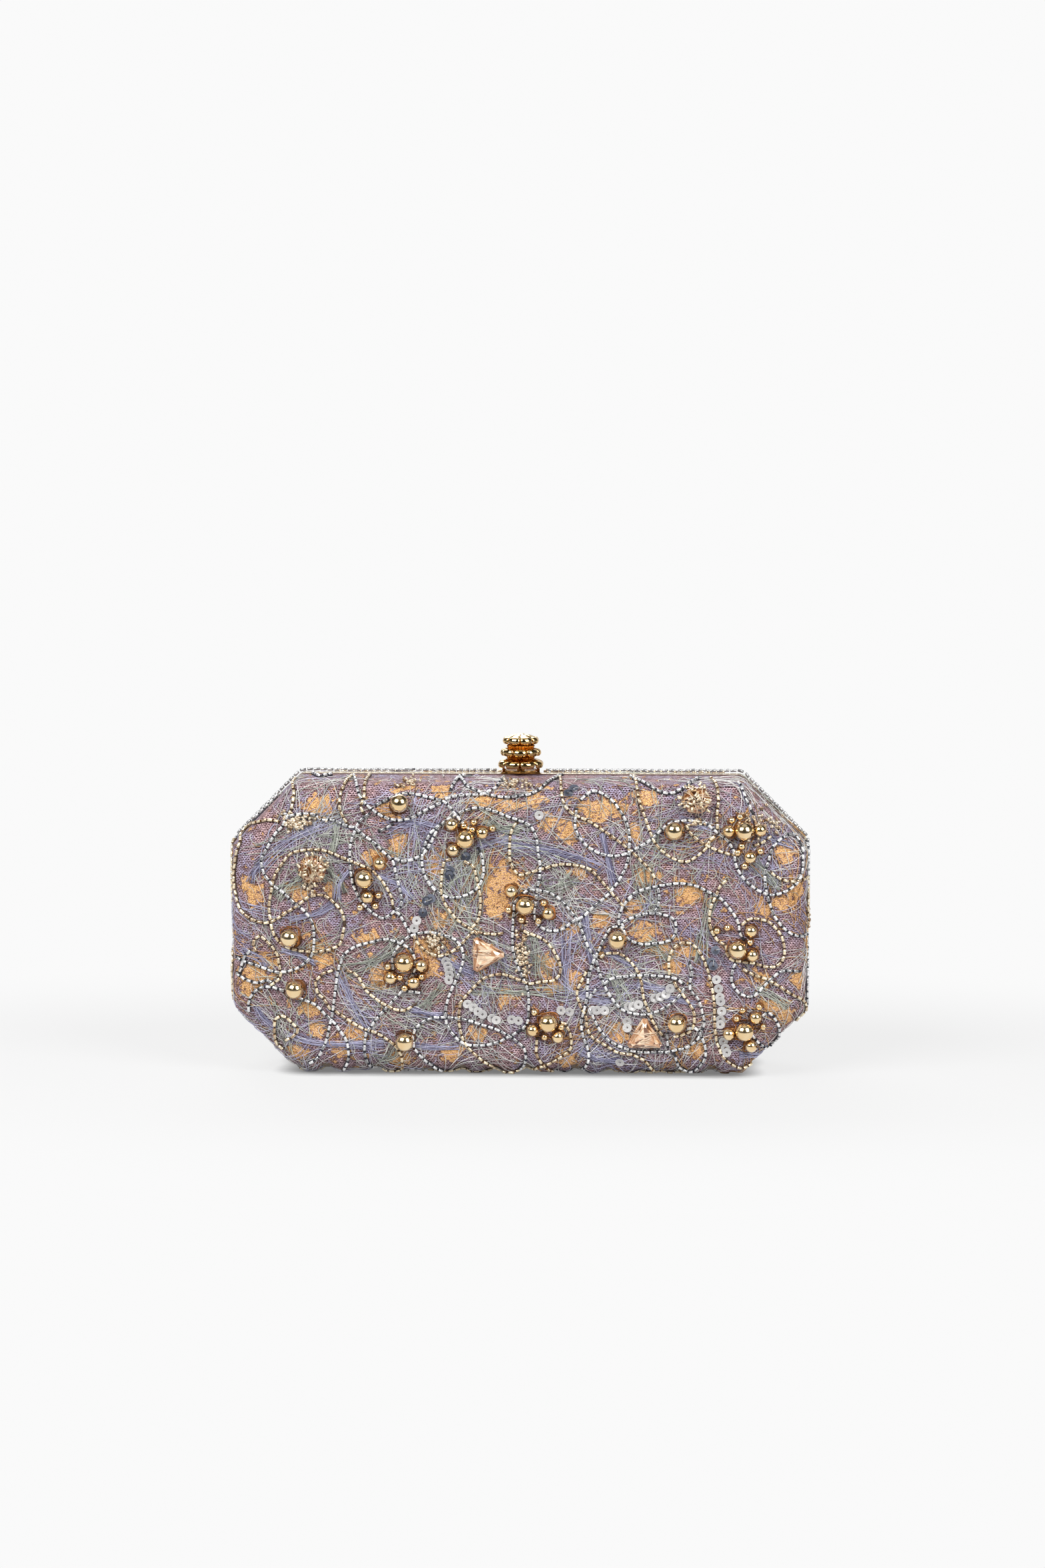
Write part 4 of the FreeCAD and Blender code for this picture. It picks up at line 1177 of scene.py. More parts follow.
def build_strands(name, body, hand):
    """Bugle beads and their dark couching thread along every strand, one piece for each kind; the couching is
    made wide and dark so it also paints the shade along the bugles.
    """
    rng = seeded(21, hand)
    paths = strand_paths(hand)
    finishes = {
        "silver": (SILVER_GLASS, SILVER_BORE_AND_GAP_SHADE, COUCHING_GREY_AND_PAINTED_SHADE),
        "gold": (GOLD_GLASS, GOLD_BORE_AND_GAP_SHADE, COUCHING_BROWN_AND_PAINTED_SHADE),
    }
    # core is the dark finish of the bugles' bore, ends and chamfers, partly painted shade in the gaps; yarn
    # is the couching thread, which also paints the shade along the bugles
    for kind, (glass, core, yarn) in finishes.items():
        beads, sewing = Heap(), Heap()
        for places, normals in paths[kind]:
            behind_rim = places[:, 1].min() > -6 and places[:, 2].min() > RIM_LOW + 5
            start = BUGLE_PITCH * rng.uniform(0.45, 0.7)
            for place, along, normal in zip(*stations(places, normals, BUGLE_PITCH, start)):
                if not clear_of_fittings(place):
                    continue
                turn = frame_at(unit(along) + [rng.gauss(0, BUGLE_STRAY) for _ in range(3)], normal)
                lift = BUGLE_RADIUS + BUGLE_LIFT + rng.uniform(0, 0.12)
                size = np.array([1.0, 1.0, rng.uniform(0.9, 1.06)]) * rng.uniform(0.95, 1.03)
                verts = (BUGLE[0] * size) @ turn.T + place + normal * lift
                tint = 0.4 + 0.6 * rng.random() ** 0.6
                # painted reflection: some bugles are darkened along the line that faces out, for the dark
                # room they mirror
                tint = tint * (1 - BUGLE_PAINTED_REFLECTION_LINE * rng.choice([0.0, 0.0, 0.3, 0.9]))
                beads.add(verts, BUGLE[1], BUGLE_SLOTS, BUGLE_SMOOTH, 0.6 * tint if behind_rim else tint)
            if all(clear_of_fittings(place) for place in places):
                # the couching thread, wider than the bugles, also paints the shade along and between them
                sewing.add(*tube(places + normals * 0.14, normals, COUCHING_RADIUS, 6), tint=0.3)
        beads.piece(f"{name}_bugles_{kind}", [glass, core], body, "cover_net", hand)
        sewing.piece(f"{name}_bugle_thread_{kind}", [yarn], body, "cover_net", hand)


def build_rim_gap_painted_shade_tube(name, body, hand):
    """A dark tube pinched between a rim and the cloth that paints the shade in the gap there; it stops short
    of the hinges.
    """
    seam = tray_rings(0.06, TOP_DROP, BOTTOM_LIFT)[0]
    seam[:, 1] = -CLOTH_START - 0.05
    seam = seam[(seam[:, 2] >= HINGE_TOP) | (seam[:, 1] <= HINGE_FRONT)]
    start = int(np.argmax(np.linalg.norm(seam - np.roll(seam, 1, 0), axis=1)))
    seam = np.roll(seam, -start, 0)
    rim_gap_painted_shade_tube = Heap()
    rim_gap_painted_shade_tube.add(*tube(seam, seam - MOUTH_MIDDLE, RIM_GAP_PAINTED_SHADE_RADIUS, 8), tint=0.4)
    rim_gap_painted_shade_tube.piece(f"{name}_edge_rim_gap_painted_shade_tube", [RIM_GAP_PAINTED_SHADE], body, "cover_net", hand)


# ---------------------------------------------------------------- sequins and seed beads

SEQUIN = turned_template([
    (SEQUIN_RADIUS, 0.2), (0.93 * SEQUIN_RADIUS, 0.22), (0.62 * SEQUIN_RADIUS, 0.08),
    (0.36, 0.04), (0.3, 0.0), (0.36, -0.04), (0.62 * SEQUIN_RADIUS, 0.0), (0.93 * SEQUIN_RADIUS, 0.13),
    (SEQUIN_RADIUS, 0.2),
], 24)
# rim, body, and the hole's wall, which takes the painted shade
SEQUIN_SLOTS = [(0, 1, 1, 2, 2, 1, 1, 0)[band] for band in SEQUIN[2]]
SEED = turned_template([
    (0.42 + 0.26 * math.cos(math.radians(turn)), 0.36 * math.sin(math.radians(turn)))
    for turn in range(180, -181, -45)
][::-1], 10)


def build_sequins(name, body, hand):
    """Cupped sequins, each run of them lapped like scales and held by a stitch."""
    kinds = (("dark", DARK_SEQUINS, [SEQUIN_DARK, SEQUIN_DARK, SEQUIN_HOLE_PAINTED_SHADE]),
             ("clear", CLEAR_SEQUINS, [SEQUIN_RIM, SEQUIN_CLEAR, SEQUIN_HOLE_PAINTED_SHADE]))
    for kind, places, finishes in kinds:
        rng = seeded(31, hand)
        discs, stitches = Heap(), Heap()
        for (x, z), following in zip(places, places[1:] + places[:1]):
            step = Vector((following[0] - x, 0, -hand * (following[1] - z)))
            place, normal = on_cover(face_spot(x, z, hand))
            if step.length < SEQUIN_LAP:
                lean = normal + step.normalized() * 0.28
            else:
                lean = normal + Vector((rng.gauss(0, 0.1), 0, rng.gauss(0, 0.1)))
            up = np.array(lean.normalized())
            turn = frame_at(up, np.array([1.0, 0.0, 0.3]))
            middle = np.array(place + normal * (0.55 + rng.uniform(0, 0.1)))
            discs.add(SEQUIN[0] @ turn.T + middle, SEQUIN[1], SEQUIN_SLOTS, tint=rng.uniform(0.2, 1.0))
            around = rng.uniform(0, 6.28)
            out = turn @ np.array([math.cos(around), math.sin(around), 0.0])
            stitch = [middle + out * reach + up * rise
                      for reach, rise in ((0, 0.02), (0.75, 0.18), (1.45, 0.26), (1.8, -0.1))]
            stitches.add(*tube(stitch, np.tile(up, (4, 1)), STITCH_RADIUS), tint=0.8)
        discs.piece(f"{name}_sequins_{kind}", finishes, body, "cover_net", hand)
        stitches.piece(f"{name}_sequin_stitches_{kind}", [THREADS["silver"]], body, "cover_net", hand)


def build_seeds(name, body, hand):
    """Loose patches of tiny clear and gold seed beads."""
    rng = seeded(41, hand)
    seeds = Heap()
    for x, z, width, height, count in SEED_PATCHES:
        for _ in range(2 * count):
            spot = face_spot(x + rng.gauss(0, 0.32) * width, z + rng.gauss(0, 0.32) * height, hand)
            place, normal = on_cover(spot)
            if not clear_of_fittings(place):
                continue
            along = strayed(rng, 1, 1, 1)
            turn = frame_at(np.array(along - normal * along.dot(normal) * 0.6), np.array(normal))
            lift = rng.uniform(0.45, 0.95)
            verts = SEED[0] * rng.uniform(0.85, 1.1) @ turn.T + np.array(place + normal * lift)
            seeds.add(verts, SEED[1], tint=rng.random())
    seeds.piece(f"{name}_seed_beads", [SEED_GLASS], body, "cover_net", hand)


# ---------------------------------------------------------------- gold beads

def loose_boxes(node):
    """The boxes of a CAD node's separate solids, in millimetres, in a fixed order."""
    work = bmesh.new()
    work.from_mesh(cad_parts[node].data)
    bmesh.ops.remove_doubles(work, verts=work.verts, dist=0.001 * MM)
    left = set(work.verts)
    boxes = []
    while left:
        waiting = [left.pop()]
        found = []
        while waiting:
            vert = waiting.pop()
            found.append(tuple(vert.co / MM))
            beside = {edge.other_vert(vert) for edge in vert.link_edges} & left
            left -= beside
            waiting.extend(beside)
        boxes.append((np.min(found, 0), np.max(found, 0)))
    work.free()
    return sorted(boxes, key=lambda pair: tuple(np.round(pair[0] + pair[1], 2)))


def bead_template(radius, hole, sides, rings):
    """A round bead bored along Z: its ball, then its bore."""
    first = math.asin(hole / radius)
    turns = np.linspace(math.pi - first, first, rings)
    profile = [(radius * math.sin(turn), radius * math.cos(turn)) for turn in turns]
    inner = [(hole * 0.96, profile[-1][1] - 0.06), (hole * 0.96, profile[0][1] + 0.06)]
    verts, faces, bands = turned_template(profile + inner + profile[:1], sides)
    return verts, faces, [int(band >= rings - 1) for band in bands]


def nest_loop(rng, middle, radius):
    """A loop of thread that winds part of the way round a bead's foot, close to the cloth."""
    first, sweep = rng.uniform(0, 6.28), rng.uniform(1.2, 3.6)
    reach = rng.uniform(0.72, 1.22)
    line = []
    for step in range(9):
        around = first + sweep * step / 8
        out = radius * reach * (1 + 0.12 * math.sin(3 * around + first)) + 0.1
        line.append(middle + np.array([out * math.cos(around), 0.0, out * math.sin(around)]))
    places, normals = laid(line, 0.5)
    lift = rng.uniform(0.15, 0.3 + 0.3 * radius)
    rise = lift * np.sin(np.linspace(0.15, 3.0, len(places)))
    return tube(places + normals * rise[:, None], normals, rng.uniform(0.09, 0.15), 4)


def build_gold_beads(name, body, hand):
    """The gold beads of one face, in the CAD beads' places, each with its thread."""
    rng = seeded(51, hand)
    for size, (radius, hole, sides, rings, loops) in BEAD_SIZES.items():
        node = f"{name}_gold_beads_{size}"
        verts, faces, slots = bead_template(radius, hole, sides, rings)
        beads, sewing = Heap(), Heap()
        for low, high in loose_boxes(node):
            middle = (low + high) / 2 * (1, -hand, 1)
            out = unit(np.array(Vector(middle) - on_cover(middle)[0]))
            spin = rng.uniform(-0.9, 0.9)
            along = np.array([math.cos(spin), 0.0, math.sin(spin)]) + out * rng.uniform(-0.1, 0.7)
            turn = frame_at(along, out)
            beads.add(verts @ turn.T + middle, faces, slots, tint=rng.random())
            along = unit(along) * radius
            down = out * radius * 0.9
            stitch = np.array(curve_through([
                middle - along * 1.05 - down, middle - along * 1.12, middle - along * 0.6,
                middle + along * 0.6, middle + along * 1.12, middle + along * 1.05 - down,
            ], 0.35))
            sewing.add(*tube(stitch, np.tile(turn[:, 1], (len(stitch), 1)), 0.09), tint=0.7)
            for _ in range(loops):
                sewing.add(*nest_loop(rng, middle, radius), tint=rng.random() ** 2)
        piece = beads.piece(f"{name}_round_beads_{size}", [BEAD_GOLD, BEAD_BORE], body, "bead_gold", hand)
        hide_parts(node)
        sewing.piece(f"{name}_round_bead_thread_{size}", [NEST_THREAD], body, "bead_gold", hand)


# ---------------------------------------------------------------- crystals

def stone_outline(size, corners, turn):
    """The girdle of a cut stone: two points beside each blunted corner and one in each side."""
    points = []
    side_reach = 0.99 * math.cos(math.radians(180 / corners - 7))
    for corner in range(corners):
        for off, reach in ((-7, 0.97), (7, 0.97), (180 / corners, side_reach)):
            around = math.radians(turn + corner * 360 / corners + off)
            points.append((size * reach * math.cos(around), size * reach * math.sin(around)))
    return np.array(points)


# Each kind of stone by its corners: its name, its wires and how far they reach, and its loose bars.
STONE_KINDS = {6: ("amber", 11, 1.02, 26), 3: ("peach", 12, 0.66, 0)}
# A stone's levels, as (share of the girdle, height): two belts, two steps of facets, the table's edge.
STONE_LEVELS = [(0.86, 0.0), (1.0, 0.9), (1.0, 1.25), (0.8, 2.35), (0.56, 3.1)]
FACET_RISE = 0.14         # how far the middle of a crown facet stands out of its corners' plane
TABLE_RISE = 0.12


def cut_stone(size, corners, turn, rng):
    """Verts, faces and tints of a stone: girdle, two steps of crown facets and a split table; the tints paint
    the facets' reflections.
    """
    girdle = stone_outline(size, corners, turn)
    count = len(girdle)
    points = [[(x * share, y * share, height) for x, y in girdle] for share, height in STONE_LEVELS]
    facets = []
    for level, (here, there) in enumerate(zip(points, points[1:])):
        for spot in range(count):
            after = (spot + 1) % count
            a, b, c, d = here[spot], here[after], there[after], there[spot]
            if level < 2:
                facets.append((a, b, c, d))
                continue
            middle = tuple((np.array(a) + b + c + d) / 4 + (0, 0, FACET_RISE))
            facets.extend([(a, b, middle), (b, c, middle), (c, d, middle), (d, a, middle)])
    top = points[-1]
    centre = (0.0, 0.0, STONE_LEVELS[-1][1] + TABLE_RISE)
    facets.extend((top[spot], top[(spot + 1) % count], centre) for spot in range(count))
    verts, faces, tints = [], [], []
    for facet in facets:
        faces.append(list(range(len(verts), len(verts) + len(facet))))
        verts.extend(facet)
        # painted reflection: each facet takes a random dark, middle or light tint, as the facets of a
        # foil-backed stone mirror light and dark
        tints.extend([rng.choice([0.1, 0.35, 0.5, 0.7, 0.95])] * len(facet))
    return np.array(verts), faces, tints


def stone_seat(x, z):
    """Where a stone sits on the front cover: its foot, and its axes to the right, up and outwards."""
    place, normal = COVER_TREE.ray_cast(Vector((x, -60.0, z)), Vector((0, 1, 0)))[:2]
    normal = outward(place, normal)
    up = unit(np.array(Vector((0, 0, 1)) - normal * normal.z))
    right = np.cross(up, np.array(normal))
    return np.array(place + normal * 0.45), np.stack([right, up, np.array(normal)], 1)


def stone_wire(rng, size, crossing):
    """A fine wire bowed over a stone, in the stone's axes: crossing the others, or nearly level."""
    across = rng.uniform(0, math.pi) if crossing else rng.gauss(0, 0.18)
    level = rng.uniform(-0.75, 0.75)
    cosine, sine = math.cos(across), math.sin(across)
    wire = []
    for share in np.linspace(-1, 1, 11):
        over = 3.4 - 2.9 * abs(share) ** 3 - 1.3 * level ** 4
        wire.append((size * (share * cosine - level * 0.6 * sine),
                     size * (share * sine + level * 0.6 * cosine), over))
    return np.array(wire)


def stone_bar(rng, size):
    """A loose bugle that lies on a stone's crown, in the stone's axes."""
    around, out = rng.uniform(0, 2 * math.pi), rng.uniform(0.15, 1.1)
    height = 3.75 - 3.1 * max(0.0, out - 0.35) ** 1.4 + rng.uniform(0, 0.2)
    lie = around + rng.gauss(0, 0.6)
    way = np.array([math.cos(lie), math.sin(lie), rng.gauss(-0.25, 0.2)])
    turn = frame_at(way, np.array([0, 0, 1.0]))
    spot = np.array([out * math.cos(around) * size, out * math.sin(around) * size, height])
    return (BUGLE[0] * (0.8, 0.8, 0.9)) @ turn.T + spot


def build_crystals(name, body, hand):
    """Faceted stones crossed by fine wires, with loose bars on the amber ones."""
    rng = random.Random(61)
    heaps = {"amber": Heap(), "peach": Heap()}
    wires, bars = Heap(), Heap()
    for x, z, size, corners, turn in CRYSTALS:
        base, axes = stone_seat(x, height_for(z, hand))
        kind, wire_count, reach, bar_count = STONE_KINDS[corners]
        verts, faces, tints = cut_stone(size * 0.97, corners, turn, rng)
        heaps[kind].add(verts @ axes.T + base, faces, smooth=False, tint=tints)
        for _ in range(wire_count):
            wire = stone_wire(rng, size * reach, kind == "amber") @ axes.T + base
            tint = rng.uniform(0.5, 1.0)
            wires.add(*tube(wire, np.tile(axes[:, 2], (len(wire), 1)), rng.uniform(0.08, 0.13)), tint=tint)
        for _ in range(bar_count):
            bar = stone_bar(rng, size) @ axes.T + base
            bars.add(bar, BUGLE[1], BUGLE_SLOTS, BUGLE_SMOOTH, rng.uniform(0.3, 0.9))
    piece = heaps["amber"].piece(f"{name}_crystals_amber", [AMBER], body, "crystal_peach", hand)
    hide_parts(name + "_crystals")
    heaps["peach"].piece(f"{name}_crystals_peach", [PEACH], body, "crystal_peach", hand)
    wires.piece(f"{name}_crystal_wires", [STONE_WIRE], body, "crystal_peach", hand)
    bars.piece(f"{name}_crystal_bars", [GOLD_GLASS, GOLD_BORE_AND_GAP_SHADE], body, "crystal_peach", hand)


# ---------------------------------------------------------------- threads and floss

def drifted(start, heading, bend, length, step):
    """A thread that wanders over the cloth from a place, turning as it goes."""
    place, normal = on_cover(start)
    ahead = heading - normal * heading.dot(normal)
    places, normals = [], []
    for _ in range(max(3, round(length / step))):
        places.append(place)
        normals.append(normal)
        ahead = (ahead - normal * ahead.dot(normal)).normalized()
        ahead = (ahead + normal.cross(ahead) * bend * step).normalized()
        place, normal = on_cover(place + ahead * step)
    return np.array(places), np.array(normals)


def arched(count, rng, low, high):
    """Heights along a thread: it is caught at both ends and stands off a little between."""
    share = np.linspace(0, math.pi, count)
    return low + (high - low) * np.abs(np.sin(share * rng.choice([1, 2, 2, 3]))) ** 0.7


def sweep_start(rng):
    """Where a sweep of threads begins: mostly on the face, sometimes on a wall."""
    if rng.random() < 0.82:
        return Vector((rng.uniform(-90, 90), -24.0, rng.uniform(3, 96)))
    return wall_point(rng.random(), rng.uniform(4.0, 14.0))


def over_foil(places, hand):
    """The share of a thread's places that lie on a foil spot, tripled: those threads are mostly left out."""
    spots = np.array(FOIL_SPOTS)
    x, z = places[:, :1], height_for(places[:, 2:], hand)
    reach = FOIL_CORE * spots[:, 2:]
    away = np.hypot((x - spots[:, 0]) / reach[:, 0], (z - spots[:, 1]) / reach[:, 1])
    return 3.0 * (away.min(1) < 1).mean()


def build_threads(name, body, hand):
    """Fine threads all over the cloth: long ones laid in crossing sweeps, and short curls."""
    rng = random.Random(71)
    heaps = {kind: Heap() for kind in THREADS}

    for _ in range(SWEEPS):
        start = sweep_start(rng)
        heading = strayed(rng, 1, 0.4, 1).normalized()
        bend = rng.gauss(0, 0.035)
        kind = rng.choices(list(THREADS), (0.42, 0.24, 0.22, 0.12 if start.y < -15 else 0.02))[0]
        spread = rng.uniform(2.0, 7.0)
        for _ in range(SWEEP_THREADS):
            at = start + strayed(rng, spread, 0.3 * spread, spread)
            way = heading + strayed(rng, 0.22, 0.1, 0.22)
            bent = bend + rng.gauss(0, 0.02)
            places, normals = drifted(at, way, bent, rng.uniform(12, 34), SWEEP_STEP)
            near_rim = places[:, 1].max() > THREAD_LIMIT
            if near_rim or over_foil(places, hand) > rng.random():
                continue
            if not all(map(clear_of_fittings, places)):
                continue
            heights = arched(len(places), rng, 0.08, rng.uniform(0.2, 0.6))
            path = places + normals * heights[:, None]
            tint = rng.random() ** 0.5
            heaps[kind].add(*tube(path, normals, THREAD_RADIUS * rng.uniform(0.8, 1.2), 3), tint=tint)
    for _ in range(CURLS):
        at = sweep_start(rng) + strayed(rng, 2, 1, 2)
        way = strayed(rng, 1, 0.4, 1).normalized()
        bend = rng.choice((-1, 1)) * rng.uniform(0.18, 0.75)
        places, normals = drifted(at, way, bend, rng.uniform(3.5, 9), CURL_STEP)
        if places[:, 1].max() > THREAD_LIMIT or not all(map(clear_of_fittings, places)):
            continue
        heights = arched(len(places), rng, 0.1, rng.uniform(0.3, 0.75))
        kind = rng.choices(list(THREADS), (0.45, 0.3, 0.15, 0.1))[0]
        path = places + normals * heights[:, None]
        radius = THREAD_RADIUS * rng.uniform(0.8, 1.1)
        heaps[kind].add(*tube(path, normals, radius, 3), tint=rng.uniform(0.4, 1))
    for kind, heap in heaps.items():
        heap.piece(f"{name}_threads_{kind}", [THREADS[kind]], body, "cover_net", hand)


def bundle_path(rng, line, hand):
    """A bundle's line on the cover, bowed a little if it is straight, and run on at both ends."""
    points = face_line(line, hand)
    if len(points) == 2:
        bow = Vector((rng.gauss(0, 0.6), 0, rng.gauss(0, 0.6)))
        points.insert(1, (points[0] + points[1]) / 2 + bow)
    points[0] = points[0] + (points[0] - points[1]) * 0.45
    points[-1] = points[-1] + (points[-1] - points[-2]) * 0.45
    return laid(points, 1.2)


def build_floss(name, body, hand):
    """Loose bundles of floss, each strand straying a little from its bundle's line."""
    for kind, bundles in (("lavender", LAVENDER_BUNDLES), ("sage", SAGE_BUNDLES)):
        rng = random.Random(81)
        heap = Heap()
        for line, width in bundles:
            places, normals = bundle_path(rng, line, hand)
            across = units(np.cross(np.gradient(places, axis=0), normals))
            share = np.linspace(0, 1, len(places))
            for _ in range(BUNDLE_STRANDS):
                first, last = rng.gauss(0, 0.62 * width), rng.gauss(0, 0.62 * width)
                wave = 0.16 * width * np.sin(share * rng.uniform(3, 9) + rng.uniform(0, 6))
                off = first + (last - first) * share + wave
                lift = 0.2 + rng.uniform(0.05, 0.45) * np.sin(share * math.pi) ** 0.5
                path = places + across * off[:, None] + normals * lift[:, None]
                radius = FLOSS_RADIUS * rng.uniform(0.7, 1.2)
                heap.add(*tube(path, normals, radius, 3), tint=rng.random())
        heap.piece(f"{name}_floss_{kind}", [THREADS[kind]], body, "cover_net", hand)


# ---------------------------------------------------------------- lining and pocket

LINING_OUTSIDE, LINING_INSIDE = 2.5, 3.05     # how far the lining's two surfaces lie inside the cover


def build_lining(name, body, hand):
    """The satin lining of one half: a thin shell with soft puckers towards its corners."""
    low, high = node_box(name + "_lining")
    near = min(abs(low[1]), abs(high[1]))
    shells = []
    for inset in (LINING_OUTSIDE, LINING_INSIDE):
        rings = [ring for ring in tray_rings(inset, 0.0, 0.0) if -ring[:, 1].max() >= near - 1.2]
        rings[0] = rings[0] * (1, 0, 1) + (0, -near, 0)
        shells.append(rings)
    outside, inside = shells
    for ring in inside[2:]:
        for vert in ring:
            vert[1] += 0.35 * (noise.noise(Vector((vert[0] / 9, vert[1] / 14, vert[2] / 9))) + 0.25)
    rings = outside[::-1] + inside
    faces = [face[::-1] for face in ring_faces(len(rings), len(rings[0]))]
    verts, faces = for_side(np.concatenate(rings), faces, hand)
    piece = make_piece(name + "_satin_lining", verts, faces, [SATIN], body)
    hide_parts(name + "_lining")


POCKET_COLUMNS, POCKET_ROWS = 57, 31
POCKET_THICK = 0.6
POCKET_BELLY = 0.5
STITCH_PITCH, STITCH_LENGTH = 2.4, 1.7


def pocket_panel(low, high):
    """Verts and faces of the pocket's panel: a thin closed sheet that bellies out, with a rolled top hem."""
    columns, rows = POCKET_COLUMNS, POCKET_ROWS
    verts = []
    for y, side in ((low[1], -1), (low[1] + POCKET_THICK, 1)):
        for row in range(rows):
            for column in range(columns):
                u, v = column / (columns - 1), row / (rows - 1)
                x, z = low[0] + (high[0] - low[0]) * u, low[2] + (high[2] - low[2]) * v
                belly = math.sin(math.pi * u) ** 0.6 * math.sin(math.pi * v * 0.5 + 0.1) ** 0.8
                hem = side * 0.22 * math.exp(-((1 - v) * rows / 1.3) ** 2)
                pucker = 0.12 * noise.noise(Vector((x / 5, 3.0, z / 5)))
                verts.append((x, y - POCKET_BELLY * belly + hem + pucker, z))
    half = columns * rows
    faces = []
    for row in range(rows - 1):
        for a in range(row * columns, (row + 1) * columns - 1):
            faces.append([a, a + 1, a + columns + 1, a + columns])
            faces.append([half + a + columns, half + a + columns + 1, half + a + 1, half + a])
    edge = list(range(columns)) + list(range(2 * columns - 1, half, columns))
    edge += list(range(half - 2, half - columns - 1, -1)) + list(range(half - 2 * columns, 0, -columns))
    faces.extend([b, a, half + a, half + b] for a, b in zip(edge, edge[1:] + edge[:1]))
    return verts, faces


def build_pocket():
    """The slip pocket: its soft panel, and a line of stitches on three sides."""
    low, high = node_box("rear_slip_pocket")
    verts, faces = pocket_panel(low, high)
    piece = make_piece("rear_pocket_panel", verts, faces, [SATIN], "rear_half")
    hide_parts("rear_slip_pocket")
    left, right, bottom, top = low[0] + 1.0, high[0] - 1.0, low[2] + 1.0, high[2] - 1.0
    corners = [(left, top), (left, bottom), (right, bottom), (right, top)]
    stitches = Heap()
    for (x0, z0), (x1, z1) in zip(corners, corners[1:]):
        length = math.hypot(x1 - x0, z1 - z0)
        for number in range(int(length / STITCH_PITCH)):
            a, b = number * STITCH_PITCH / length, (number * STITCH_PITCH + STITCH_LENGTH) / length
            stitch = []
            for t in np.linspace(a, b, 5):
                rise = 0.12 + 0.12 * math.sin(math.pi * (t - a) / (b - a))
                stitch.append((x0 + (x1 - x0) * t, low[1] - rise, z0 + (z1 - z0) * t))
            stitches.add(*tube(stitch, np.tile([0.0, -1.0, 0.0], (5, 1)), 0.1), tint=0.6)
    stitches.piece("rear_pocket_stitches", [THREADS["lavender"]], "rear_half", "lining_satin")


# ---------------------------------------------------------------- knob and metal parts

PETAL_SIDES = 20
CORE_AROUND, CORE_ROWS = 224, 64
CORE_RADIUS = 3.35
FLUTES = 12


def petal(radius, low, high, around, axis_y, crown):
    """One hooked petal: a pillowy bar that runs out and down from the core and curls under at its tip."""
    line = [(0.10 * radius, high - 0.40 + crown), (0.46 * radius, high - 0.55 + 0.62 * crown),
            (0.74 * radius, high - 0.95 + 0.2 * crown), (radius - 0.78, low + 1.8),
            (radius - 0.48, low + 0.95), (radius - 0.8, low + 0.36), (radius - 1.4, low + 0.3)]
    line = np.array(curve_through([(r, 0.0, z) for r, z in line], 0.22))
    share = np.linspace(0, 1, len(line))
    wide = 0.41 * line[:, 0] * np.interp(share, [0, 0.5, 0.8, 0.92, 1.0], [1.0, 0.98, 0.95, 0.84, 0.5])
    thick = np.interp(share, [0, 0.5, 0.8, 1.0], [0.32, 0.44, 0.48, 0.26])
    ahead = units(np.gradient(line, axis=0), 0.0)
    above = np.stack([-ahead[:, 2], np.zeros(len(line)), ahead[:, 0]], 1)
    verts = []
    for spot, (reach, _, _) in enumerate(line):
        for side in range(PETAL_SIDES):
            turn = 2 * math.pi * side / PETAL_SIDES
            across = wide[spot] * math.copysign(abs(math.cos(turn)) ** 0.7, math.cos(turn))
            rise = thick[spot] * math.copysign(abs(math.sin(turn)) ** 0.62, math.sin(turn))
            x, _, z = line[spot] + above[spot] * rise
            angle = around + 0.96 * across / max(reach, 0.6)
            x = x - 0.05 * across * across * (reach / radius) ** 3
            verts.append((x * math.cos(angle), axis_y + x * math.sin(angle), z))
    return verts, [face[::-1] for face in capped_bands(len(line), PETAL_SIDES)]


def build_tier(node, turned, crown=0.0):
    """The eight petals of one tier of the knob; crown is how far they rise to their middle."""
    low, high = node_box(node)
    axis_y = (low[1] + high[1]) / 2
    radius = (high[0] - low[0]) / 2 / math.cos(math.radians(0.8 * turned))
    heap = Heap()
    for number in range(PETALS):
        around = math.radians(turned + number * 360 / PETALS)
        verts, faces = petal(radius, low[2], high[2], around, axis_y, crown)
        heap.add(verts, faces)
    piece = heap.piece(node + "_petals", [KNOB_GOLD], "clasp", "knob_gold")
    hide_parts(node)


def build_core():
    """The knob's fluted, grained core, wider in the gaps between the tiers."""
    low, high = node_box("knob_core")
    gaps = [node_box(node)[1][2] + 0.15 for node in ("knob_lower_tier", "knob_middle_tier")]
    axis_y = (low[1] + high[1]) / 2
    verts = []
    for row in range(CORE_ROWS + 1):
        z = low[2] + (high[2] - low[2]) * row / CORE_ROWS
        swell = sum(math.exp(-((z - gap) / 0.75) ** 2) for gap in gaps)
        swell += 0.8 * math.exp(-((z - low[2]) / 0.5) ** 2)
        for column in range(CORE_AROUND):
            around = 2 * math.pi * column / CORE_AROUND
            flute = 1.5 * abs(math.cos(FLUTES * around + 0.3)) ** 0.6 - 0.4
            grain = noise.noise(Vector((4.2 * math.cos(around), 4.2 * math.sin(around), z)) / 0.45)
            reach = CORE_RADIUS + (0.75 + 0.5 * flute) * swell + 0.14 * grain
            verts.append((reach * math.cos(around), axis_y + reach * math.sin(around), z))
    faces = capped_bands(CORE_ROWS + 1, CORE_AROUND)
    piece = make_piece("knob_fluted_core", verts, faces, [KNOB_GRAIN], "clasp")
    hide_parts("knob_core")


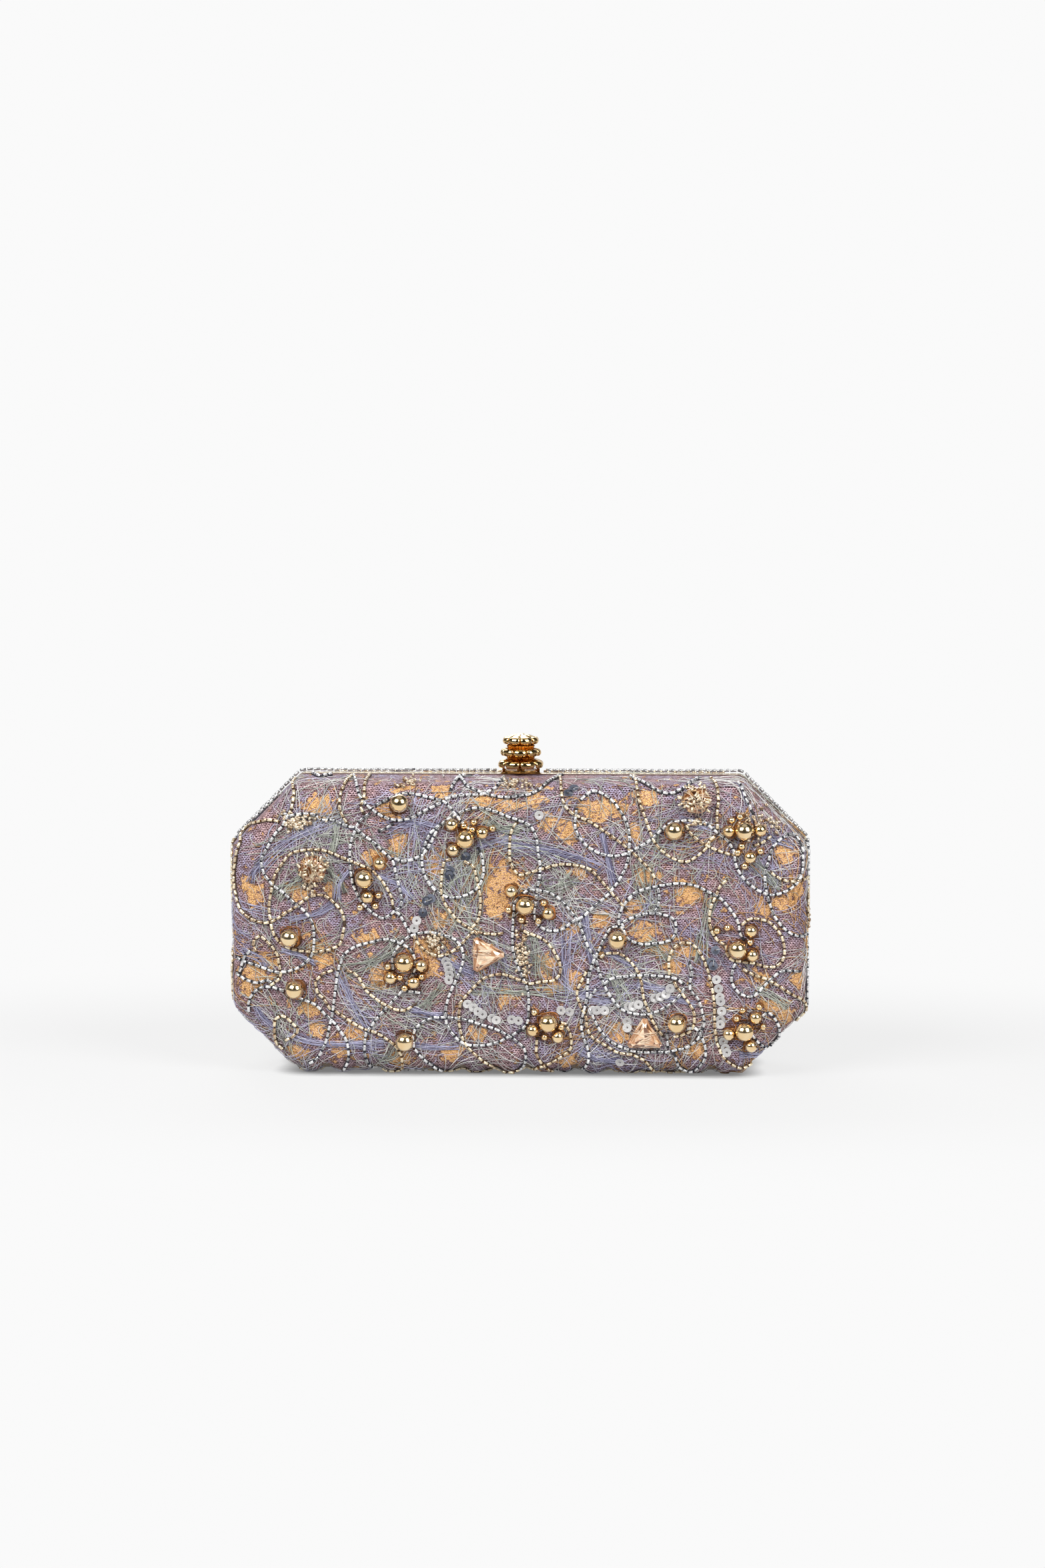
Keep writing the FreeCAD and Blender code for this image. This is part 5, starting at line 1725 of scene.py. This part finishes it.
def dress_nodes():
    """Finishes for the CAD pieces that stay."""
    finishes = {
        RIM_GOLD: ["front_rim", "rear_rim"],
        HINGE_GOLD: ["front_hinge_leaf_left", "front_hinge_leaf_right", "rear_hinge_leaf_left",
                     "rear_hinge_leaf_right", "hinge_pin_left", "hinge_pin_right"],
        CLASP_GOLD: ["clasp_saddle", "clasp_lever", "clasp_pivot_pin", "catch_rivet"],
        STEEL: ["clasp_spring", "catch_spring"],
        KNOB_GOLD: ["knob_finial"],
        BOARD: ["front_shell", "rear_shell"],
    }
    for finish, nodes in finishes.items():
        for kept in (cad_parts[node] for node in nodes):
            if not kept.material_slots:
                kept.data.materials.append(finish)
            for slot in kept.material_slots:
                slot.material = finish


# ---------------------------------------------------------------- stage, light and camera

def build_floor():
    """A pale floor: it takes the bag's soft shadow, has a painted contact shadow where the bag meets it, and
    fades into the surround; its near edge stops short.
    """
    f = Finish("studio_floor", Roughness=1.0, Specular_IOR_Level=0.0)
    f.shader.inputs["Base Color"].default_value = (FLOOR_CATCH, FLOOR_CATCH, FLOOR_CATCH, 1.0)
    # painted contact shadow: ambient occlusion dims the floor's glow close under the bag
    open_sky = f.node("AmbientOcclusion", {"Distance": PAINTED_CONTACT_SHADOW_REACH * MM}, samples=12).outputs["AO"]
    glow = f.scale_to(f.between(open_sky, 0.0, 1.0), PAINTED_CONTACT_SHADOW_GLOW * FLOOR_GLOW, FLOOR_GLOW)
    near = f.node("Emission", {"Color": (1, 1, 1, 1), "Strength": glow}).outputs[0]
    far = f.node("Emission", {"Color": (1, 1, 1, 1), "Strength": PAPER}).outputs[0]
    lit = f.node("AddShader", {0: f.shader.outputs[0], 1: near}).outputs[0]
    spread = f.vector("MULTIPLY", f.place, (0.6, 1.0, 1.0))
    away = f.node("VectorMath", {0: spread}, operation="LENGTH").outputs["Value"]
    blend = f.node("MixShader", {0: f.between(away, *FLOOR_FADE), 1: lit, 2: far}).outputs[0]
    f.tree.links.new(blend, f.output.inputs["Surface"])
    left, right = -FLOOR_FAR, FLOOR_FAR
    verts = [(left, FLOOR_NEAR, 0), (right, FLOOR_NEAR, 0), (right, FLOOR_FAR, 0), (left, FLOOR_FAR, 0)]
    mesh = bpy.data.meshes.new("studio_floor")
    mesh.from_pydata((np.array(verts) * MM).tolist(), [], [[0, 1, 2, 3]])
    mesh.materials.append(f.material)
    floor = placed("studio_floor", mesh)


def build_world():
    """White paper where the camera looks; a dark room with a few bright parts for the bag to mirror."""
    world = bpy.data.worlds.new("studio")
    bpy.context.scene.world = world
    world.use_nodes = True
    tree = world.node_tree
    tree.nodes.clear()

    def node(kind, sockets=None, **settings):
        return add_node(tree, kind, sockets, **settings)

    way = node("TexCoord").outputs["Generated"]
    x, y, z = node("SeparateXYZ", {0: way}).outputs
    side = node("Math", {0: x}, operation="ABSOLUTE").outputs[0]
    total = 0.04                         # the dark of the room
    for value, low, high, strength in (
        (z, 0.85, 0.97, 0.5),            # the ceiling
        (side, 0.8, 0.92, 0.15),         # the dim side walls
        (y, 0.55, 0.8, 0.85),            # the white paper behind
    ):
        glow = node("MapRange", {"Value": value, "From Min": low, "From Max": high, "To Max": strength},
                    interpolation_type="SMOOTHSTEP").outputs[0]
        total = node("Math", {0: glow, 1: total}, operation="MAXIMUM").outputs[0]
    paper = node("Background", {"Color": (1, 1, 1, 1), "Strength": PAPER}).outputs[0]
    room = node("Background", {"Color": (1, 1, 1, 1), "Strength": total}).outputs[0]
    direct = node("LightPath").outputs["Is Camera Ray"]
    surround = node("MixShader", {0: direct, 1: room, 2: paper}).outputs[0]
    node("OutputWorld", {"Surface": surround})


def build_lamp(name, place, size, power):
    """A soft box aimed at the bag."""
    data = bpy.data.lights.new(name, "AREA")
    data.shape = "RECTANGLE"
    data.size, data.size_y = size[0] * MM, size[1] * MM
    data.energy = power
    lamp = placed(name, data)
    lamp.location = Vector(place) * MM
    lamp.rotation_euler = (Vector(VIEW_AIM) - Vector(place)).to_track_quat("-Z", "Y").to_euler()


def build_camera():
    """The camera, in front of the bag, a little above and to the right."""
    data = bpy.data.cameras.new("camera")
    data.lens = VIEW_LENS
    data.sensor_width = 36.0
    data.shift_x, data.shift_y = VIEW_SHIFT
    data.clip_start, data.clip_end = 0.01, 100.0
    camera = placed("camera", data)
    camera.location = EYE * MM
    camera.rotation_euler = BACK.to_track_quat("Z", "Y").to_euler()
    bpy.context.scene.camera = camera


# ---------------------------------------------------------------- the bag

BUILDERS = (
    build_cover, build_strands, build_rim_gap_painted_shade_tube, build_sequins, build_seeds, build_gold_beads, build_crystals,
    build_threads, build_floss, build_lining,
)
for half, half_hand in (("front", -1), ("rear", 1)):
    for build in BUILDERS:
        build(half, half + "_half", half_hand)
build_pocket()
build_tier("knob_lower_tier", 22.5)
build_tier("knob_middle_tier", 0.0)
top_crown = node_box("knob_finial")[1][2] - node_box("knob_top_tier")[1][2] - 0.1
build_tier("knob_top_tier", 22.5, top_crown)
build_core()
dress_nodes()

build_floor()
build_world()
for lamp in LAMPS:
    build_lamp(*lamp)
build_camera()
bpy.context.scene.view_settings.view_transform = "Standard"
